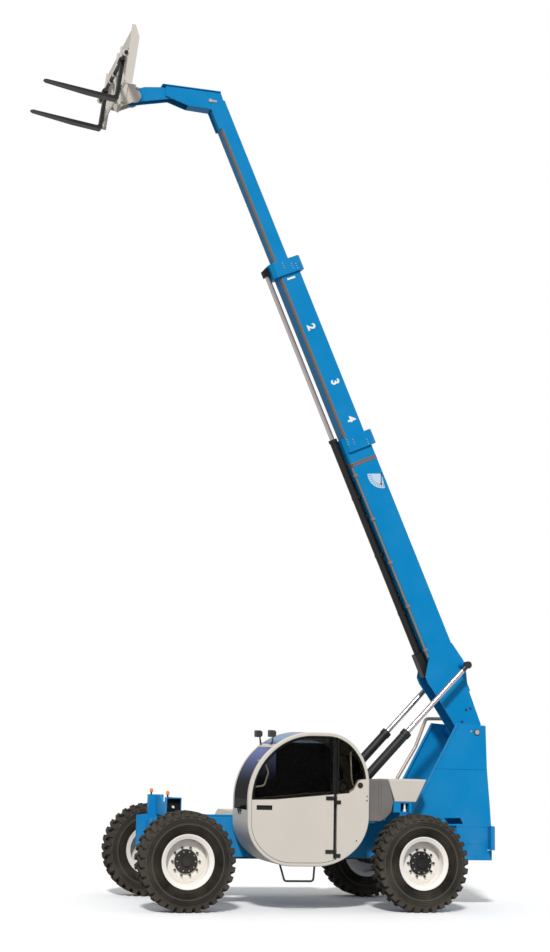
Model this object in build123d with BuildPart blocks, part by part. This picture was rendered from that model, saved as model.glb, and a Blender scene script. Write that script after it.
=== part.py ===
"""Rough-terrain telehandler: chassis, cab, three-section boom with gooseneck and pallet forks.

Millimetres. +X is forward, +Y is left (cab side), +Z is up. The origin is on the
ground, on the centre plane, midway between the two axles. Every piece is drawn where
it stands with the boom raised and run out.
"""
import os
from math import cos, hypot, radians, sin

from build123d import *

os.makedirs("parts", exist_ok=True)

# ---------------------------------------------------------------- running gear
WHEELBASE = 3280
TRACK = 2095
TYRE_R = 642.5
TYRE_W = 345
CROWN_R = 604             # the casing between the lugs
LUG_ROOT_R = 572
LUGS = 32                 # in each of the two rows
LUG_OUT_W = 62            # a lug's width at the shoulder
LUG_IN_W = 44             # and at the tyre's middle
LUG_SKEW = 60
LUG_PAST = 8              # how far a lug runs past the middle
RIM_SEAT_R = 305          # bead seat: 24 inch rim
RIM_FLANGE_R = 352
RIM_W = 330
RIM_WALL = 14
HUB_R = 155
HUB_OUT = 70              # hub face, outboard of the wheel's centre
KINGPIN_Y = 800
KINGPIN_R = 34
KNUCKLE_R = 92
KNUCKLE_H = 220
YOKE_GAP = 6
AXLE_R = 95
DIFF_R = 215              # differential housing
SPINDLE_R = 70
STEER_BACK = 160          # steering cylinder, inward of its axle
STEER_UP = -20
STEER_BARREL_R = 40
STEER_BARREL_L = 600
STEER_REACH = 678
SHAFT_TUBE_R = 38         # drive shafts
GEARBOX = (-220, 180, 560, 820, 150)      # rear, front, underside, top, half width

# ---------------------------------------------------------------- chassis
RAIL_Y = 450              # outer face of the side plates
RAIL_T = 60
RAIL_LOW = 656
RAIL_TOP = 1170
RAIL_STEP = 1100          # top of the rails behind the engine bay
RAIL_STEP_X = -1950
RAIL_FRONT = 1965
REAR_PLATE_X = -2915      # rear end of the rails, where the rear block bolts on
SADDLE_X = 100            # half length of an axle saddle
SADDLE_Z = 745            # its top face, in the rail's notch
TIE_DOWN = (1900, 820, 25)                # place along and up, and hole radius
TOWER_Y = 480             # outer face of the tower's cheek plates
TOWER_T = 30
TOWER_FOOT_X = -1776     # front foot of the cheek plates
REAR_BLOCK = (775, 1111, 600, 85)         # underside, top, half width, depth
CLEVIS_PIN_R = 19
COVER_Z = 1437            # underside of the cover behind the tank
YOKE_X = 1685             # front cross plate
YOKE_TOP = 1430

# ---------------------------------------------------------------- boom
PIVOT_X = -2750
PIVOT_Z = 2420
BOOM_ANGLE = 66
BOOM_WALL = 8
SLIDE_GAP = 0.3           # running clearance of wear pads and rods
PIN_GAP = 0.05            # radial clearance of a pin in its bore
#            start  end   top  bottom width  (along the boom; above and below its pivot line)
OUTER = dict(start=520, end=4590, top=290, bottom=-135, width=340, collar_low=-138)
MID = dict(start=2700, end=7360, top=275, bottom=-65, width=270, collar_low=-155)
FLY = dict(start=5250, end=9900, top=190, bottom=-45, width=200)
COLLAR_L = 220
COLLAR_RISE = 75
COLLAR_SIDE = 30
COLLAR_CHAMFER = 50
SECTION_CHAMFER = 22
PIVOT_PIN_R = 50
PIVOT_BOSS_R = 95
PIVOT_CAP_R = 22

TELE_AXIS = -195          # telescopic cylinder, below the pivot line
TELE_BARREL_R = 55
TELE_ROD_R = 35
TELE_BARREL = (950, 4640)
TELE_BLOCK = 350          # length of the block at its foot
TELE_SADDLES = (1900, 2800, 3700)
TELE_ROD_START = 3700
ROD_LUG = 140             # length of the lug that takes the rod, under the mid section's collar
LINE_R = 16               # hard lines along the outer section's lower corners
LINE_SPAN = (1200, 4150)
LINE_CLAMPS = 5
BAND_AT = 4160            # clamp band round the outer section

# lift cylinders
LIFT_Y = 380
LIFT_BASE = (-600, 1200)
LIFT_EYE_AL = 904         # rod eye on the heel, along and above the boom's pivot line
LIFT_EYE_UP = 298
LIFT_BARREL_R = 65
LIFT_BARREL_L = 1640
LIFT_ROD_R = 37.5
LIFT_ROD_L = 1690
LIFT_PIN_R = 38

# gooseneck and tilt
TIP_X = 2480
TIP_Z = 11420
TIP_R = 90
TIP_PIN_R = 30
NECK_PLATE = 20
NECK_LIP = 12             # thickness of its top and bottom plates
TIP_Y = 80                # outer face of the tip's two plates
TILT_BASE = (TIP_X - 1150, TIP_Z + 80)
HORN_R = 160
HORN_ANGLE = 92           # horn above the line back along the gooseneck
TILT_BARREL_R = 45
TILT_BARREL_L = 740
TILT_ROD_R = 25
TILT_ROD_L = 895
TILT_PIN_R = 22
GLAND_L = 70              # gland ring at the mouth of every barrel
GLAND_PROUD = 9

# carriage and forks, in a frame at the tip pivot that leans back by FORK_TILT
FORK_TILT = 6.8
CARRIAGE_Y = 900
COUPLER_Y = TIP_Y + 35      # outer face of the coupler's cheeks
CARRIAGE_BACK = 184
CARRIAGE_FRONT = 298
CARRIAGE_LOW = -155
CARRIAGE_TOP = 690
SHAFT_A = 338
SHAFT_B = 245
SHAFT_R = 28
FORK_Y = 580
FORK_W = 120
FORK_T = 48
FORK_L = 1080
FORK_HEEL = -358

# ---------------------------------------------------------------- cab
CAB_IN_Y = 500
CAB_OUT_Y = 1210
CAB_WALL = 60
CAB_RIM = 45              # the shell's rim round the door and the quarter panel
CAB_FRONT = 847
CAB_ROOF = 2345
CAB_LOW = 594
CAB_EDGE_R = 16
WINDOW_SIDE = 60          # the shell left standing beside its windows
DOOR_T = 40
DOOR_GAP = 6
DOOR_EDGE_X = -342
QUARTER_EDGE_X = -392
SASH = 30                 # frame left round a door window
PANE_T = 5
PANE_LAP = 18             # how far a bonded pane covers its frame
PANE_GAP = 0.3
CURVED_PANE_T = 6
SEAT_Y = 850
WHEEL_HUB = (300, 850, 1330)
WHEEL_RING_R = 165

# engine side
POD_IN_Y = 500
POD_OUT_Y = 1180
POD_REAR = -850
POD_FRONT = 665
POD_LOW = 560
POD_BELT = 1000
POD_TOP = 1222
POD_SLOPE = 55            # how far the hood's front leans back
EXHAUST_Y = 575
EXHAUST_R = 26
MUFFLER_R = 65
MUFFLER_Z = 1500
MUFFLER_L = 280

# hinges with a pin: door (upright) and hood (level)
HINGE_R = 12
HINGE_PIN_R = 6
KNUCKLE_L = 50
HINGE_X = (DOOR_EDGE_X + QUARTER_EDGE_X) / 2
DOOR_HINGE_Y = CAB_OUT_Y + 12
DOOR_HINGES = (763, 1458)
HOOD_HINGE_X = POD_REAR - 12
HOOD_HINGE_Z = POD_BELT + 2.5
HOOD_HINGES = (-640, -1020)


def side(y):
    """Plane of a side profile at y: local x is forward, local y is up, extrusions go right."""
    return Plane.XZ.offset(-y)


def boom_side(y):
    """The same along the raised boom: local x runs up the boom, local y is its top side."""
    return BOOM.offset(-y)


def across(al):
    """Section plane at a distance along the boom: local x is left, local y is its top side."""
    return Plane(origin=BOOM.from_local_coords((al, 0, 0)), x_dir=(0, 1, 0), z_dir=BOOM.x_dir)


def carriage_side(y):
    return CARRIAGE.offset(-y)


def outline(*points):
    """A closed face through the points, in the sketch at hand."""
    with BuildLine() as path:
        Polyline(*points, close=True)
    make_face(path.edges())


def save(piece, name):
    piece.part.label = name
    export_step(piece.part, f"parts/{name}.step")


BOOM = Plane(
    origin=(PIVOT_X, 0, PIVOT_Z),
    x_dir=(cos(radians(BOOM_ANGLE)), 0, sin(radians(BOOM_ANGLE))),
    z_dir=(0, -1, 0),
)
CARRIAGE = Plane(
    origin=(TIP_X, 0, TIP_Z),
    x_dir=(cos(radians(FORK_TILT)), 0, sin(radians(FORK_TILT))),
    z_dir=(0, -1, 0),
)
AXLE_X = WHEELBASE / 2
WHEEL_Y = TRACK / 2


# ================================================================= wheels
# corner name, fore-aft sign, left-right sign
CORNERS = [("front_left", 1, 1), ("front_right", 1, -1), ("rear_left", -1, 1), ("rear_right", -1, -1)]


def lug_row(lr):
    """One row of skewed lugs on a tyre that lies flat, on its upper (1) or lower (-1) half."""
    with BuildPart() as lug:
        with BuildSketch(Plane(origin=(TYRE_R + 8, 0, 0), x_dir=(0, -1, 0), z_dir=(-1, 0, 0))):
            shoulder = lr * (TYRE_W / 2 - 4)
            inner = -lr * LUG_PAST
            outline(
                (-(LUG_SKEW + LUG_OUT_W) / 2, shoulder), (-(LUG_SKEW - LUG_OUT_W) / 2, shoulder),
                ((LUG_SKEW + LUG_IN_W) / 2, inner), ((LUG_SKEW - LUG_IN_W) / 2, inner),
            )
        extrude(amount=TYRE_R + 8 - LUG_ROOT_R, taper=-5)
        Cylinder(TYRE_R, 2 * TYRE_W, mode=Mode.INTERSECT)
    turn = 0 if lr > 0 else 180 / LUGS
    return [lug.part.rotate(Axis.Z, turn + 360 * at / LUGS) for at in range(LUGS)]


# the tyre: a bellied casing with two rows of lugs, set half a pitch apart
with BuildPart() as tyre_flat:
    with BuildSketch(Plane.XZ):
        with BuildLine():
            half = TYRE_W / 2
            right = [
                (RIM_SEAT_R + 1, half - 54), (RIM_FLANGE_R - 22, half - 30), (RIM_FLANGE_R + 2, half - 23),
                (400, half - 5), (470, half), (545, half - 3), (585, half - 14), (CROWN_R, half - 28),
            ]
            Polyline(*right, *[(r, -w) for r, w in reversed(right)], close=True)
        make_face()
    revolve(axis=Axis.Z)
    add(lug_row(1) + lug_row(-1))

# the rim: a drop-centre well and a dished disc, with the hub's cap in its middle
with BuildPart() as rim_flat:
    with BuildSketch(Plane.XZ):
        w = RIM_W / 2
        well = RIM_SEAT_R - RIM_WALL
        outline(
            (HUB_R, HUB_OUT - 60), (well, HUB_OUT - 100), (well, RIM_WALL - w), (RIM_FLANGE_R, -w),
            (RIM_FLANGE_R, 12 - w), (RIM_FLANGE_R - 12, 12 - w), (RIM_SEAT_R, 34 - w), (RIM_SEAT_R, w - 34),
            (RIM_FLANGE_R - 12, w - 12), (RIM_FLANGE_R, w - 12), (RIM_FLANGE_R, w),
            (RIM_FLANGE_R - 12, w), (well, w - 20), (well, HUB_OUT - 74), (well - 30, HUB_OUT - 52),
            (HUB_R + 60, HUB_OUT - 34), (HUB_R, HUB_OUT - 34),
        )
        outline(
            (0, HUB_OUT - 90), (HUB_R, HUB_OUT - 90), (HUB_R, HUB_OUT - 12), (HUB_R - 14, HUB_OUT - 4),
            (70, HUB_OUT), (62, HUB_OUT + 22), (0, HUB_OUT + 22),
        )
    revolve(axis=Axis.Z)

for corner, ax, lr in CORNERS:
    # local z is outboard
    stand = Plane(origin=(ax * AXLE_X, lr * WHEEL_Y, TYRE_R), x_dir=(0, 0, -1), z_dir=(0, lr, 0)).location
    for piece, name in ((tyre_flat, "tyre"), (rim_flat, "rim")):
        with BuildPart() as wheel_piece:
            add(piece.part.moved(stand))
        save(wheel_piece, f"{name}_{corner}")

    # steering knuckle: a drum on two kingpins, with the spindle that carries the hub
    with BuildPart() as knuckle:
        with BuildSketch(Plane.XY.offset(TYRE_R - KNUCKLE_H / 2)):
            with Locations((ax * AXLE_X, lr * KINGPIN_Y)):
                Circle(KNUCKLE_R)
        extrude(amount=KNUCKLE_H)
        with BuildSketch(Plane.XY.offset(TYRE_R - KNUCKLE_H / 2 - 40)):
            with Locations((ax * AXLE_X, lr * KINGPIN_Y)):
                Circle(KINGPIN_R)
        extrude(amount=KNUCKLE_H + 80)
        hub_back = WHEEL_Y + HUB_OUT - 90 - SLIDE_GAP
        with BuildSketch(Plane(origin=(ax * AXLE_X, lr * KINGPIN_Y, TYRE_R), x_dir=(1, 0, 0), z_dir=(0, lr, 0))):
            Circle(SPINDLE_R + 30)
        extrude(amount=hub_back - KINGPIN_Y)
    save(knuckle, f"knuckle_{corner}")

# ================================================================= axles
for name, ax in (("front_axle", 1), ("rear_axle", -1)):
    with BuildPart() as axle:
        centre = Plane(origin=(ax * AXLE_X, 0, TYRE_R), x_dir=(0, 1, 0), z_dir=(1, 0, 0))
        along = Plane(origin=(ax * AXLE_X, 0, TYRE_R), x_dir=(1, 0, 0), z_dir=(0, 1, 0))
        with BuildSketch(along):
            Circle(AXLE_R)
        extrude(amount=KINGPIN_Y - KNUCKLE_R - 30, both=True)
        # differential housing
        with BuildSketch(Plane.XY.offset(TYRE_R)):
            outline((ax * AXLE_X, -230), (ax * AXLE_X + DIFF_R, -90), (ax * AXLE_X + DIFF_R, 90), (ax * AXLE_X, 230))
        revolve(axis=Axis((ax * AXLE_X, 0, TYRE_R), (0, 1, 0)))
        # steering cylinder, its through rod and the two blocks that hold it
        steer_at = (ax * (AXLE_X - STEER_BACK), 0, TYRE_R + STEER_UP)
        for radius, length in ((STEER_BARREL_R, STEER_BARREL_L), (STEER_BARREL_R / 2, 2 * STEER_REACH)):
            with BuildSketch(Plane(origin=steer_at, x_dir=(1, 0, 0), z_dir=(0, 1, 0))):
                Circle(radius)
            extrude(amount=length / 2, both=True)
        for lr in (1, -1):
            with Locations((ax * (AXLE_X - STEER_BACK / 2), lr * (STEER_BARREL_L / 2 - 50), TYRE_R)):
                Box(STEER_BACK, 50, 60)
        # yokes: a web inboard of the knuckle and two arms that hold the kingpins
        arm = KNUCKLE_H / 2 + YOKE_GAP
        for lr in (1, -1):
            web_in = lr * (KINGPIN_Y - KNUCKLE_R - 60)
            web_out = lr * (KINGPIN_Y - KNUCKLE_R - YOKE_GAP)
            arm_out = lr * (KINGPIN_Y + 62)
            with BuildSketch(centre):
                outline(
                    (web_in, -80), (web_out - lr * 20, -arm - 36), (arm_out, -arm - 36), (arm_out, -arm),
                    (web_out, -arm), (web_out, arm), (arm_out, arm), (arm_out, arm + 36),
                    (web_out - lr * 20, arm + 36), (web_in, 80),
                )
            extrude(amount=62, both=True)
            with Locations((ax * AXLE_X, lr * KINGPIN_Y, TYRE_R)):
                Cylinder(KINGPIN_R + PIN_GAP, 2 * arm + 100, mode=Mode.SUBTRACT)
        # saddles that the frame rails sit on
        for lr in (1, -1):
            with BuildSketch(side(lr * (RAIL_Y - RAIL_T / 2))):
                with Locations((ax * AXLE_X, (TYRE_R + SADDLE_Z) / 2)):
                    Rectangle(2 * SADDLE_X, SADDLE_Z - TYRE_R)
            extrude(amount=RAIL_T / 2, both=True)
    save(axle, name)

# gearbox in the middle of the chassis, with a shaft to each differential
with BuildPart() as driveline:
    box_rear, box_front, box_low, box_top, box_y = GEARBOX
    with BuildSketch(side(0)):
        outline(
            (box_rear, box_low + 60), (box_rear + 70, box_low), (box_front - 90, box_low), (box_front, box_low + 60),
            (box_front, box_top - 90), (box_front - 90, box_top), (box_rear, box_top),
        )
    extrude(amount=box_y, both=True)
    for start, end in ((box_front, AXLE_X - DIFF_R), (box_rear, DIFF_R - AXLE_X)):
        with BuildSketch(Plane(origin=(start, 0, TYRE_R), x_dir=(0, 1, 0), z_dir=(1, 0, 0))):
            Circle(SHAFT_TUBE_R)
        extrude(amount=end - start)
        # flange and joint at each end
        heading = 1 if end > start else -1
        for at, inward in ((start, heading), (end, -heading)):
            with BuildSketch(Plane(origin=(at, 0, TYRE_R), x_dir=(0, 1, 0), z_dir=(inward, 0, 0))):
                Circle(SHAFT_TUBE_R + 18)
            extrude(amount=20)
            with BuildSketch(Plane(origin=(at, 0, TYRE_R), x_dir=(0, 1, 0), z_dir=(inward, 0, 0))):
                Rectangle(2 * SHAFT_TUBE_R + 20, 2 * SHAFT_TUBE_R - 10)
            extrude(amount=110)
save(driveline, "driveline")


# ================================================================= chassis
def tower_outline():
    """Side outline of the rear tower's cheek plate, with the notch that takes the rear block."""
    low, high = REAR_BLOCK[:2]
    outline(
        (TOWER_FOOT_X, RAIL_STEP + 10), (TOWER_FOOT_X, RAIL_TOP + 90), (TOWER_FOOT_X - 52, RAIL_TOP + 205),
        (PIVOT_X + 286, PIVOT_Z + 118), (PIVOT_X - 137, PIVOT_Z + 90), (PIVOT_X - 157, 1900),
        (PIVOT_X - 199, 1412), (PIVOT_X - 220, high), (REAR_PLATE_X, high), (REAR_PLATE_X, low),
        (PIVOT_X - 230, low), (PIVOT_X - 230, RAIL_LOW - 19), (PIVOT_X + 190, RAIL_LOW - 19),
        (PIVOT_X + 310, 860), (PIVOT_X + 310, RAIL_STEP + 10),
    )


with BuildPart() as frame_rails:
    for lr in (1, -1):
        with BuildSketch(side(lr * (RAIL_Y - RAIL_T / 2))):
            outline(
                (REAR_PLATE_X, RAIL_LOW + 40), (REAR_PLATE_X, RAIL_STEP), (RAIL_STEP_X - 70, RAIL_STEP),
                (RAIL_STEP_X, RAIL_TOP), (RAIL_FRONT - 200, RAIL_TOP), (RAIL_FRONT, RAIL_TOP - 22),
                (RAIL_FRONT, RAIL_LOW + 60), (RAIL_FRONT - 60, RAIL_LOW), (REAR_PLATE_X + 40, RAIL_LOW),
            )
            for ax in (1, -1):
                with Locations((ax * AXLE_X, SADDLE_Z - 100)):
                    Rectangle(2 * SADDLE_X + 12, 200, mode=Mode.SUBTRACT)
            with Locations(LIFT_BASE):
                Circle(LIFT_PIN_R + 36, mode=Mode.SUBTRACT)
            with Locations(TIE_DOWN[:2]):
                Circle(TIE_DOWN[2], mode=Mode.SUBTRACT)
        extrude(amount=RAIL_T / 2, both=True)
save(frame_rails, "frame_rails")

# fore-aft place, underside, top, thickness
CROSS_MEMBERS = [
    (1820, 800, 1090, 40), (1000, 780, 1080, 60), (-250, 700, 960, 60), (-950, 700, 1000, 60), (-2200, 800, 1080, 60),
]
with BuildPart() as cross_members:
    for x, low, high, thick in CROSS_MEMBERS:
        with BuildSketch(Plane(origin=(x, 0, (low + high) / 2), x_dir=(0, 1, 0), z_dir=(1, 0, 0))):
            Rectangle(2 * (RAIL_Y - RAIL_T), high - low)
            with GridLocations(300, 0, 2, 1):
                Circle((high - low) / 4, mode=Mode.SUBTRACT)
        extrude(amount=thick / 2, both=True)
save(cross_members, "cross_members")

with BuildPart() as side_brackets:
    # shelf under the tank
    with Locations((-985, (RAIL_Y + 860) / 2, RAIL_TOP - 10)):
        Box(170, 860 - RAIL_Y, 20)
    # gantry that carries the cover above the rear tyre: a plate on the rail, a top plate and two legs
    with BuildSketch(side(RAIL_Y + 20)):
        outline((-1390, RAIL_TOP - 40), (-1345, COVER_Z), (-1613, COVER_Z), (-1568, RAIL_TOP - 40))
    extrude(amount=20)
    with BuildSketch(side(840)):
        with Locations((-1479, COVER_Z - 8)):
            Rectangle(268, 16)
        for front, rear in ((-1345, -1448), (-1572, -1613)):
            with Locations(((front + rear) / 2, COVER_Z - 70)):
                Rectangle(front - rear, 140)
    extrude(amount=840 - RAIL_Y - 20)
save(side_brackets, "side_brackets")

with BuildPart() as lift_foot:
    # a bracket on each rail and the cross shaft that both lift cylinders swing on
    for lr in (1, -1):
        with BuildSketch(side(lr * (LIFT_Y + LIFT_BARREL_R + 20))):
            outline(
                (LIFT_BASE[0] - 150, RAIL_TOP), (LIFT_BASE[0] - 60, LIFT_BASE[1] + 70),
                (LIFT_BASE[0] + 60, LIFT_BASE[1] + 70), (LIFT_BASE[0] + 150, RAIL_TOP),
                (LIFT_BASE[0] + 150, RAIL_TOP - 121), (LIFT_BASE[0] - 150, RAIL_TOP - 121),
            )
        extrude(amount=15, both=True)
    with BuildSketch(side(0)):
        with Locations(LIFT_BASE):
            Circle(LIFT_PIN_R)
    extrude(amount=LIFT_Y + LIFT_BARREL_R + 20, both=True)
save(lift_foot, "lift_foot")

with BuildPart() as rear_tower:
    for lr in (1, -1):
        with BuildSketch(side(lr * (TOWER_Y - TOWER_T / 2))):
            tower_outline()
            # opening at the foot of the cheek
            with BuildLine():
                Polyline((-2252, 1213), (-2497, 1217), (-2540, 1134), (-2316, 1131), close=True)
            make_face(mode=Mode.SUBTRACT)
        extrude(amount=TOWER_T / 2, both=True)
        # seams between the cheek's plates: height, front and rear end
        for z, front, rear in ((1890, -2108, -2910), (1094, -2436, -2974), (862, -2436, -2918)):
            with Locations(((front + rear) / 2, lr * TOWER_Y, z)):
                Box(front - rear, 6, 5, mode=Mode.SUBTRACT)
        # flange along the sloping front edge
        with BuildSketch(side(lr * (TOWER_Y - TOWER_T / 2 - 12))):
            outline(
                (TOWER_FOOT_X - 52, RAIL_TOP + 205), (PIVOT_X + 286, PIVOT_Z + 118),
                (PIVOT_X + 276, PIVOT_Z + 113), (TOWER_FOOT_X - 64, RAIL_TOP + 205),
            )
        extrude(amount=35, both=True)
        # cap and keeper of the pivot pin
        for x, z, radius in ((PIVOT_X, PIVOT_Z, PIVOT_CAP_R), (PIVOT_X + 91, PIVOT_Z + 15, 9)):
            with BuildSketch(side(lr * (TOWER_Y - 5))):
                with Locations((x, z)):
                    Circle(radius)
            extrude(amount=11, both=True)
    # cross plates: (x, low, high, thickness)
    for x, low, high, thick in ((REAR_PLATE_X + 7.5, REAR_BLOCK[1], 1800, 15), (-2100, RAIL_TOP, 1420, 30)):
        with Locations((x, 0, (low + high) / 2)):
            Box(thick, 2 * TOWER_Y - TOWER_T, high - low)
    with BuildSketch(side(0)):
        with Locations((PIVOT_X, PIVOT_Z)):
            Circle(PIVOT_PIN_R)
    extrude(amount=TOWER_Y - 10, both=True)
save(rear_tower, "rear_tower")

# rear block, with the two ears of the tow hitch and their pin hole
with BuildPart() as counterweight:
    block_low, block_top, block_y, block_depth = REAR_BLOCK
    block_back = REAR_PLATE_X - block_depth
    with BuildSketch(Plane.XY.offset(block_low + 10)):
        outline(
            (REAR_PLATE_X, -block_y), (REAR_PLATE_X, block_y), (block_back + 40, block_y),
            (block_back, block_y - 60), (block_back, 60 - block_y), (block_back + 40, -block_y),
        )
    extrude(amount=block_top - block_low - 10.3)
    for z in (870, 970):
        with BuildSketch(Plane.XY.offset(z)):
            with BuildLine():
                Polyline((block_back - 45, 60), (block_back + 10, 90), (block_back + 10, -90), (block_back - 45, -60))
                CenterArc((block_back - 45, 0), 60, 90, 180)
            make_face()
            with Locations((block_back - 45, 0)):
                Circle(CLEVIS_PIN_R, mode=Mode.SUBTRACT)
        extrude(amount=30)
save(counterweight, "counterweight")

with BuildPart() as front_yoke:
    # cross plate with a notch for the lowered boom, and a lamp box at each end, open outward
    with BuildSketch(Plane(origin=(YOKE_X, 0, 0), x_dir=(0, 1, 0), z_dir=(1, 0, 0))):
        outline(
            (-450, RAIL_TOP), (-450, YOKE_TOP), (-190, YOKE_TOP), (0, YOKE_TOP - 110), (190, YOKE_TOP),
            (450, YOKE_TOP), (450, RAIL_TOP),
        )
    extrude(amount=12, both=True)
    for lr in (1, -1):
        with BuildSketch(side(lr * 500)):
            with Locations((YOKE_X, (RAIL_TOP + YOKE_TOP) / 2)):
                Rectangle(210, YOKE_TOP - RAIL_TOP)
        extrude(amount=50, both=True)
        with BuildSketch(side(lr * 520)):
            with Locations((YOKE_X, (RAIL_TOP + YOKE_TOP) / 2)):
                Rectangle(210 - 24, YOKE_TOP - RAIL_TOP - 24)
        extrude(amount=40, both=True, mode=Mode.SUBTRACT)
save(front_yoke, "front_yoke")

# marker lamps: a stem and a domed lens on each lamp box
with BuildPart() as lamps:
    for lr in (1, -1):
        with BuildSketch(side(lr * 470)):
            outline(
                (YOKE_X + 70, YOKE_TOP), (YOKE_X + 82, YOKE_TOP), (YOKE_X + 82, YOKE_TOP + 30),
                (YOKE_X + 94, YOKE_TOP + 36), (YOKE_X + 94, YOKE_TOP + 66), (YOKE_X + 86, YOKE_TOP + 82),
                (YOKE_X + 70, YOKE_TOP + 90),
            )
        revolve(axis=Axis((YOKE_X + 70, lr * 470, 0), (0, 0, 1)))
save(lamps, "marker_lamps")

# ================================================================= engine side
with BuildPart() as engine_block:
    with Locations((-80, -(POD_IN_Y + POD_OUT_Y) / 2 + 20, POD_LOW + 30 + 260)):
        Box(1100, 440, 520)
save(engine_block, "engine_block")


def hood_knuckle(drop):
    """Profile of one hood hinge knuckle, with its leaf below (1) or above (-1) the pin."""
    with Locations((HOOD_HINGE_X, HOOD_HINGE_Z)):
        Circle(HINGE_R)
    with Locations((HOOD_HINGE_X + 6, HOOD_HINGE_Z - drop * 22)):
        Rectangle(12, 44)


with BuildPart() as engine_pod:
    with BuildSketch(Plane(origin=(POD_REAR, 0, 0), x_dir=(0, 1, 0), z_dir=(1, 0, 0))):
        outline(
            (-POD_IN_Y, POD_LOW), (-POD_OUT_Y + 120, POD_LOW), (-POD_OUT_Y, POD_LOW + 140), (-POD_OUT_Y, POD_BELT),
            (-POD_IN_Y, POD_BELT),
        )
    extrude(amount=POD_FRONT - POD_REAR)
    offset(amount=-30, openings=engine_pod.faces().sort_by(Axis.Z)[-1])
    for x in (-700, 450):
        with Locations((x, -(RAIL_Y + POD_IN_Y) / 2, 800)):
            Box(120, POD_IN_Y - RAIL_Y, 160)
    for y in HOOD_HINGES:
        with BuildSketch(side(y + KNUCKLE_L + SLIDE_GAP)):
            hood_knuckle(1)
        extrude(amount=KNUCKLE_L)
        with BuildSketch(side(y + KNUCKLE_L + SLIDE_GAP)):
            with Locations((HOOD_HINGE_X, HOOD_HINGE_Z)):
                Circle(HINGE_PIN_R)
        extrude(amount=2 * KNUCKLE_L + 3)
save(engine_pod, "engine_pod")

with BuildPart() as engine_hood:
    with BuildSketch(Plane(origin=(POD_REAR, 0, 0), x_dir=(0, 1, 0), z_dir=(1, 0, 0))):
        outline(
            (-POD_IN_Y, POD_BELT + 5), (-POD_OUT_Y, POD_BELT + 5), (-POD_OUT_Y + 40, POD_TOP - 60),
            (-POD_OUT_Y + 110, POD_TOP), (-POD_IN_Y, POD_TOP),
        )
    extrude(amount=POD_FRONT - POD_REAR)
    # the front leans back
    with BuildSketch(side(-POD_IN_Y + 10)):
        outline((POD_FRONT, POD_BELT), (POD_FRONT + 10, POD_BELT), (POD_FRONT + 10, POD_TOP + 10),
                (POD_FRONT - POD_SLOPE, POD_TOP + 10))
    extrude(amount=POD_OUT_Y - POD_IN_Y + 20, mode=Mode.SUBTRACT)
    offset(amount=-20, openings=engine_hood.faces().sort_by(Axis.Z)[0])
    # cooling slots through the outer side
    with BuildSketch(side(-POD_OUT_Y + 60)):
        with Locations((-430, POD_BELT + 95)):
            with GridLocations(0, 26, 1, 5):
                SlotOverall(420, 12)
    extrude(amount=80, mode=Mode.SUBTRACT)
    for y in HOOD_HINGES:
        with BuildSketch(side(y)):
            hood_knuckle(-1)
            with Locations((HOOD_HINGE_X, HOOD_HINGE_Z)):
                Circle(HINGE_PIN_R + PIN_GAP, mode=Mode.SUBTRACT)
        extrude(amount=KNUCKLE_L)
save(engine_hood, "engine_hood")

with BuildPart() as exhaust:
    with BuildLine() as pipe_line:
        FilletPolyline((-1950, -EXHAUST_Y, MUFFLER_Z + MUFFLER_L / 2), (-1982, -EXHAUST_Y, 1741),
                       (-2257, -EXHAUST_Y, 2185), (-2422, -EXHAUST_Y, 2600), (-2700, -EXHAUST_Y, 2607), radius=60)
    with BuildSketch(Plane(origin=pipe_line.wire() @ 0, z_dir=pipe_line.wire() % 0)):
        Circle(EXHAUST_R)
        Circle(EXHAUST_R - 4, mode=Mode.SUBTRACT)
    sweep()
    with BuildSketch(side(-EXHAUST_Y)):
        low, high = MUFFLER_Z - MUFFLER_L / 2, MUFFLER_Z + MUFFLER_L / 2
        outline((-1950, low), (-1950 + MUFFLER_R - 15, low), (-1950 + MUFFLER_R, low + 15),
                (-1950 + MUFFLER_R, high - 15), (-1950 + EXHAUST_R, high), (-1950, high))
    revolve(axis=Axis((-1950, -EXHAUST_Y, 0), (0, 0, 1)))
    # bracket to the tower's cheek plate
    with Locations((-1960, -(EXHAUST_Y + TOWER_Y) / 2, MUFFLER_Z)):
        Box(60, EXHAUST_Y - TOWER_Y, 60)
save(exhaust, "exhaust")

# moulded tank with two upright ribs on its outer side
with BuildPart() as fuel_tank:
    with BuildSketch(side(880)):
        outline((-880, RAIL_TOP), (-880, 1730), (-1254, 1733), (-1329, 1442), (-1300, 1300), (-1232, 1225),
                (-1142, RAIL_TOP))
    extrude(amount=880 - TOWER_Y)
    fillet(fuel_tank.edges().group_by(Axis.Y)[-1], 14)
    for x in (-1104, -1142):
        with Locations((x, 880, 1480)):
            Box(9, 12, 460, mode=Mode.SUBTRACT)
save(fuel_tank, "fuel_tank")

with BuildPart() as side_cover:
    with BuildSketch(side(850)):
        outline((-1260, 1737), (-1826, 1743), (-1671, COVER_Z), (-1362, COVER_Z))
    extrude(amount=850 - TOWER_Y)
    fillet(side_cover.edges().group_by(Axis.Y)[-1], 12)
save(side_cover, "side_cover")

# ================================================================= cab
# corner of the cab's side outline before rounding, and the radius that rounds it
CAB_CORNERS = [
    (CAB_FRONT, 1809, 890), (317, CAB_ROOF, 890), (-510, CAB_ROOF, 547), (-CAB_FRONT, 1933, 730),
    (-CAB_FRONT, 969, 610), (-398, CAB_LOW, 785), (481, CAB_LOW, 620), (CAB_FRONT, 927, 540),
]
# lower edge of the side windows, front to back
BELT = [(950, 1440), (483, 1452), (-350, 1532), (-562, 1553), (-623, 1583), (-683, 1697), (-737, 1725), (-1000, 1730)]
REACH = 3000              # past every edge of the cab


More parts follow.
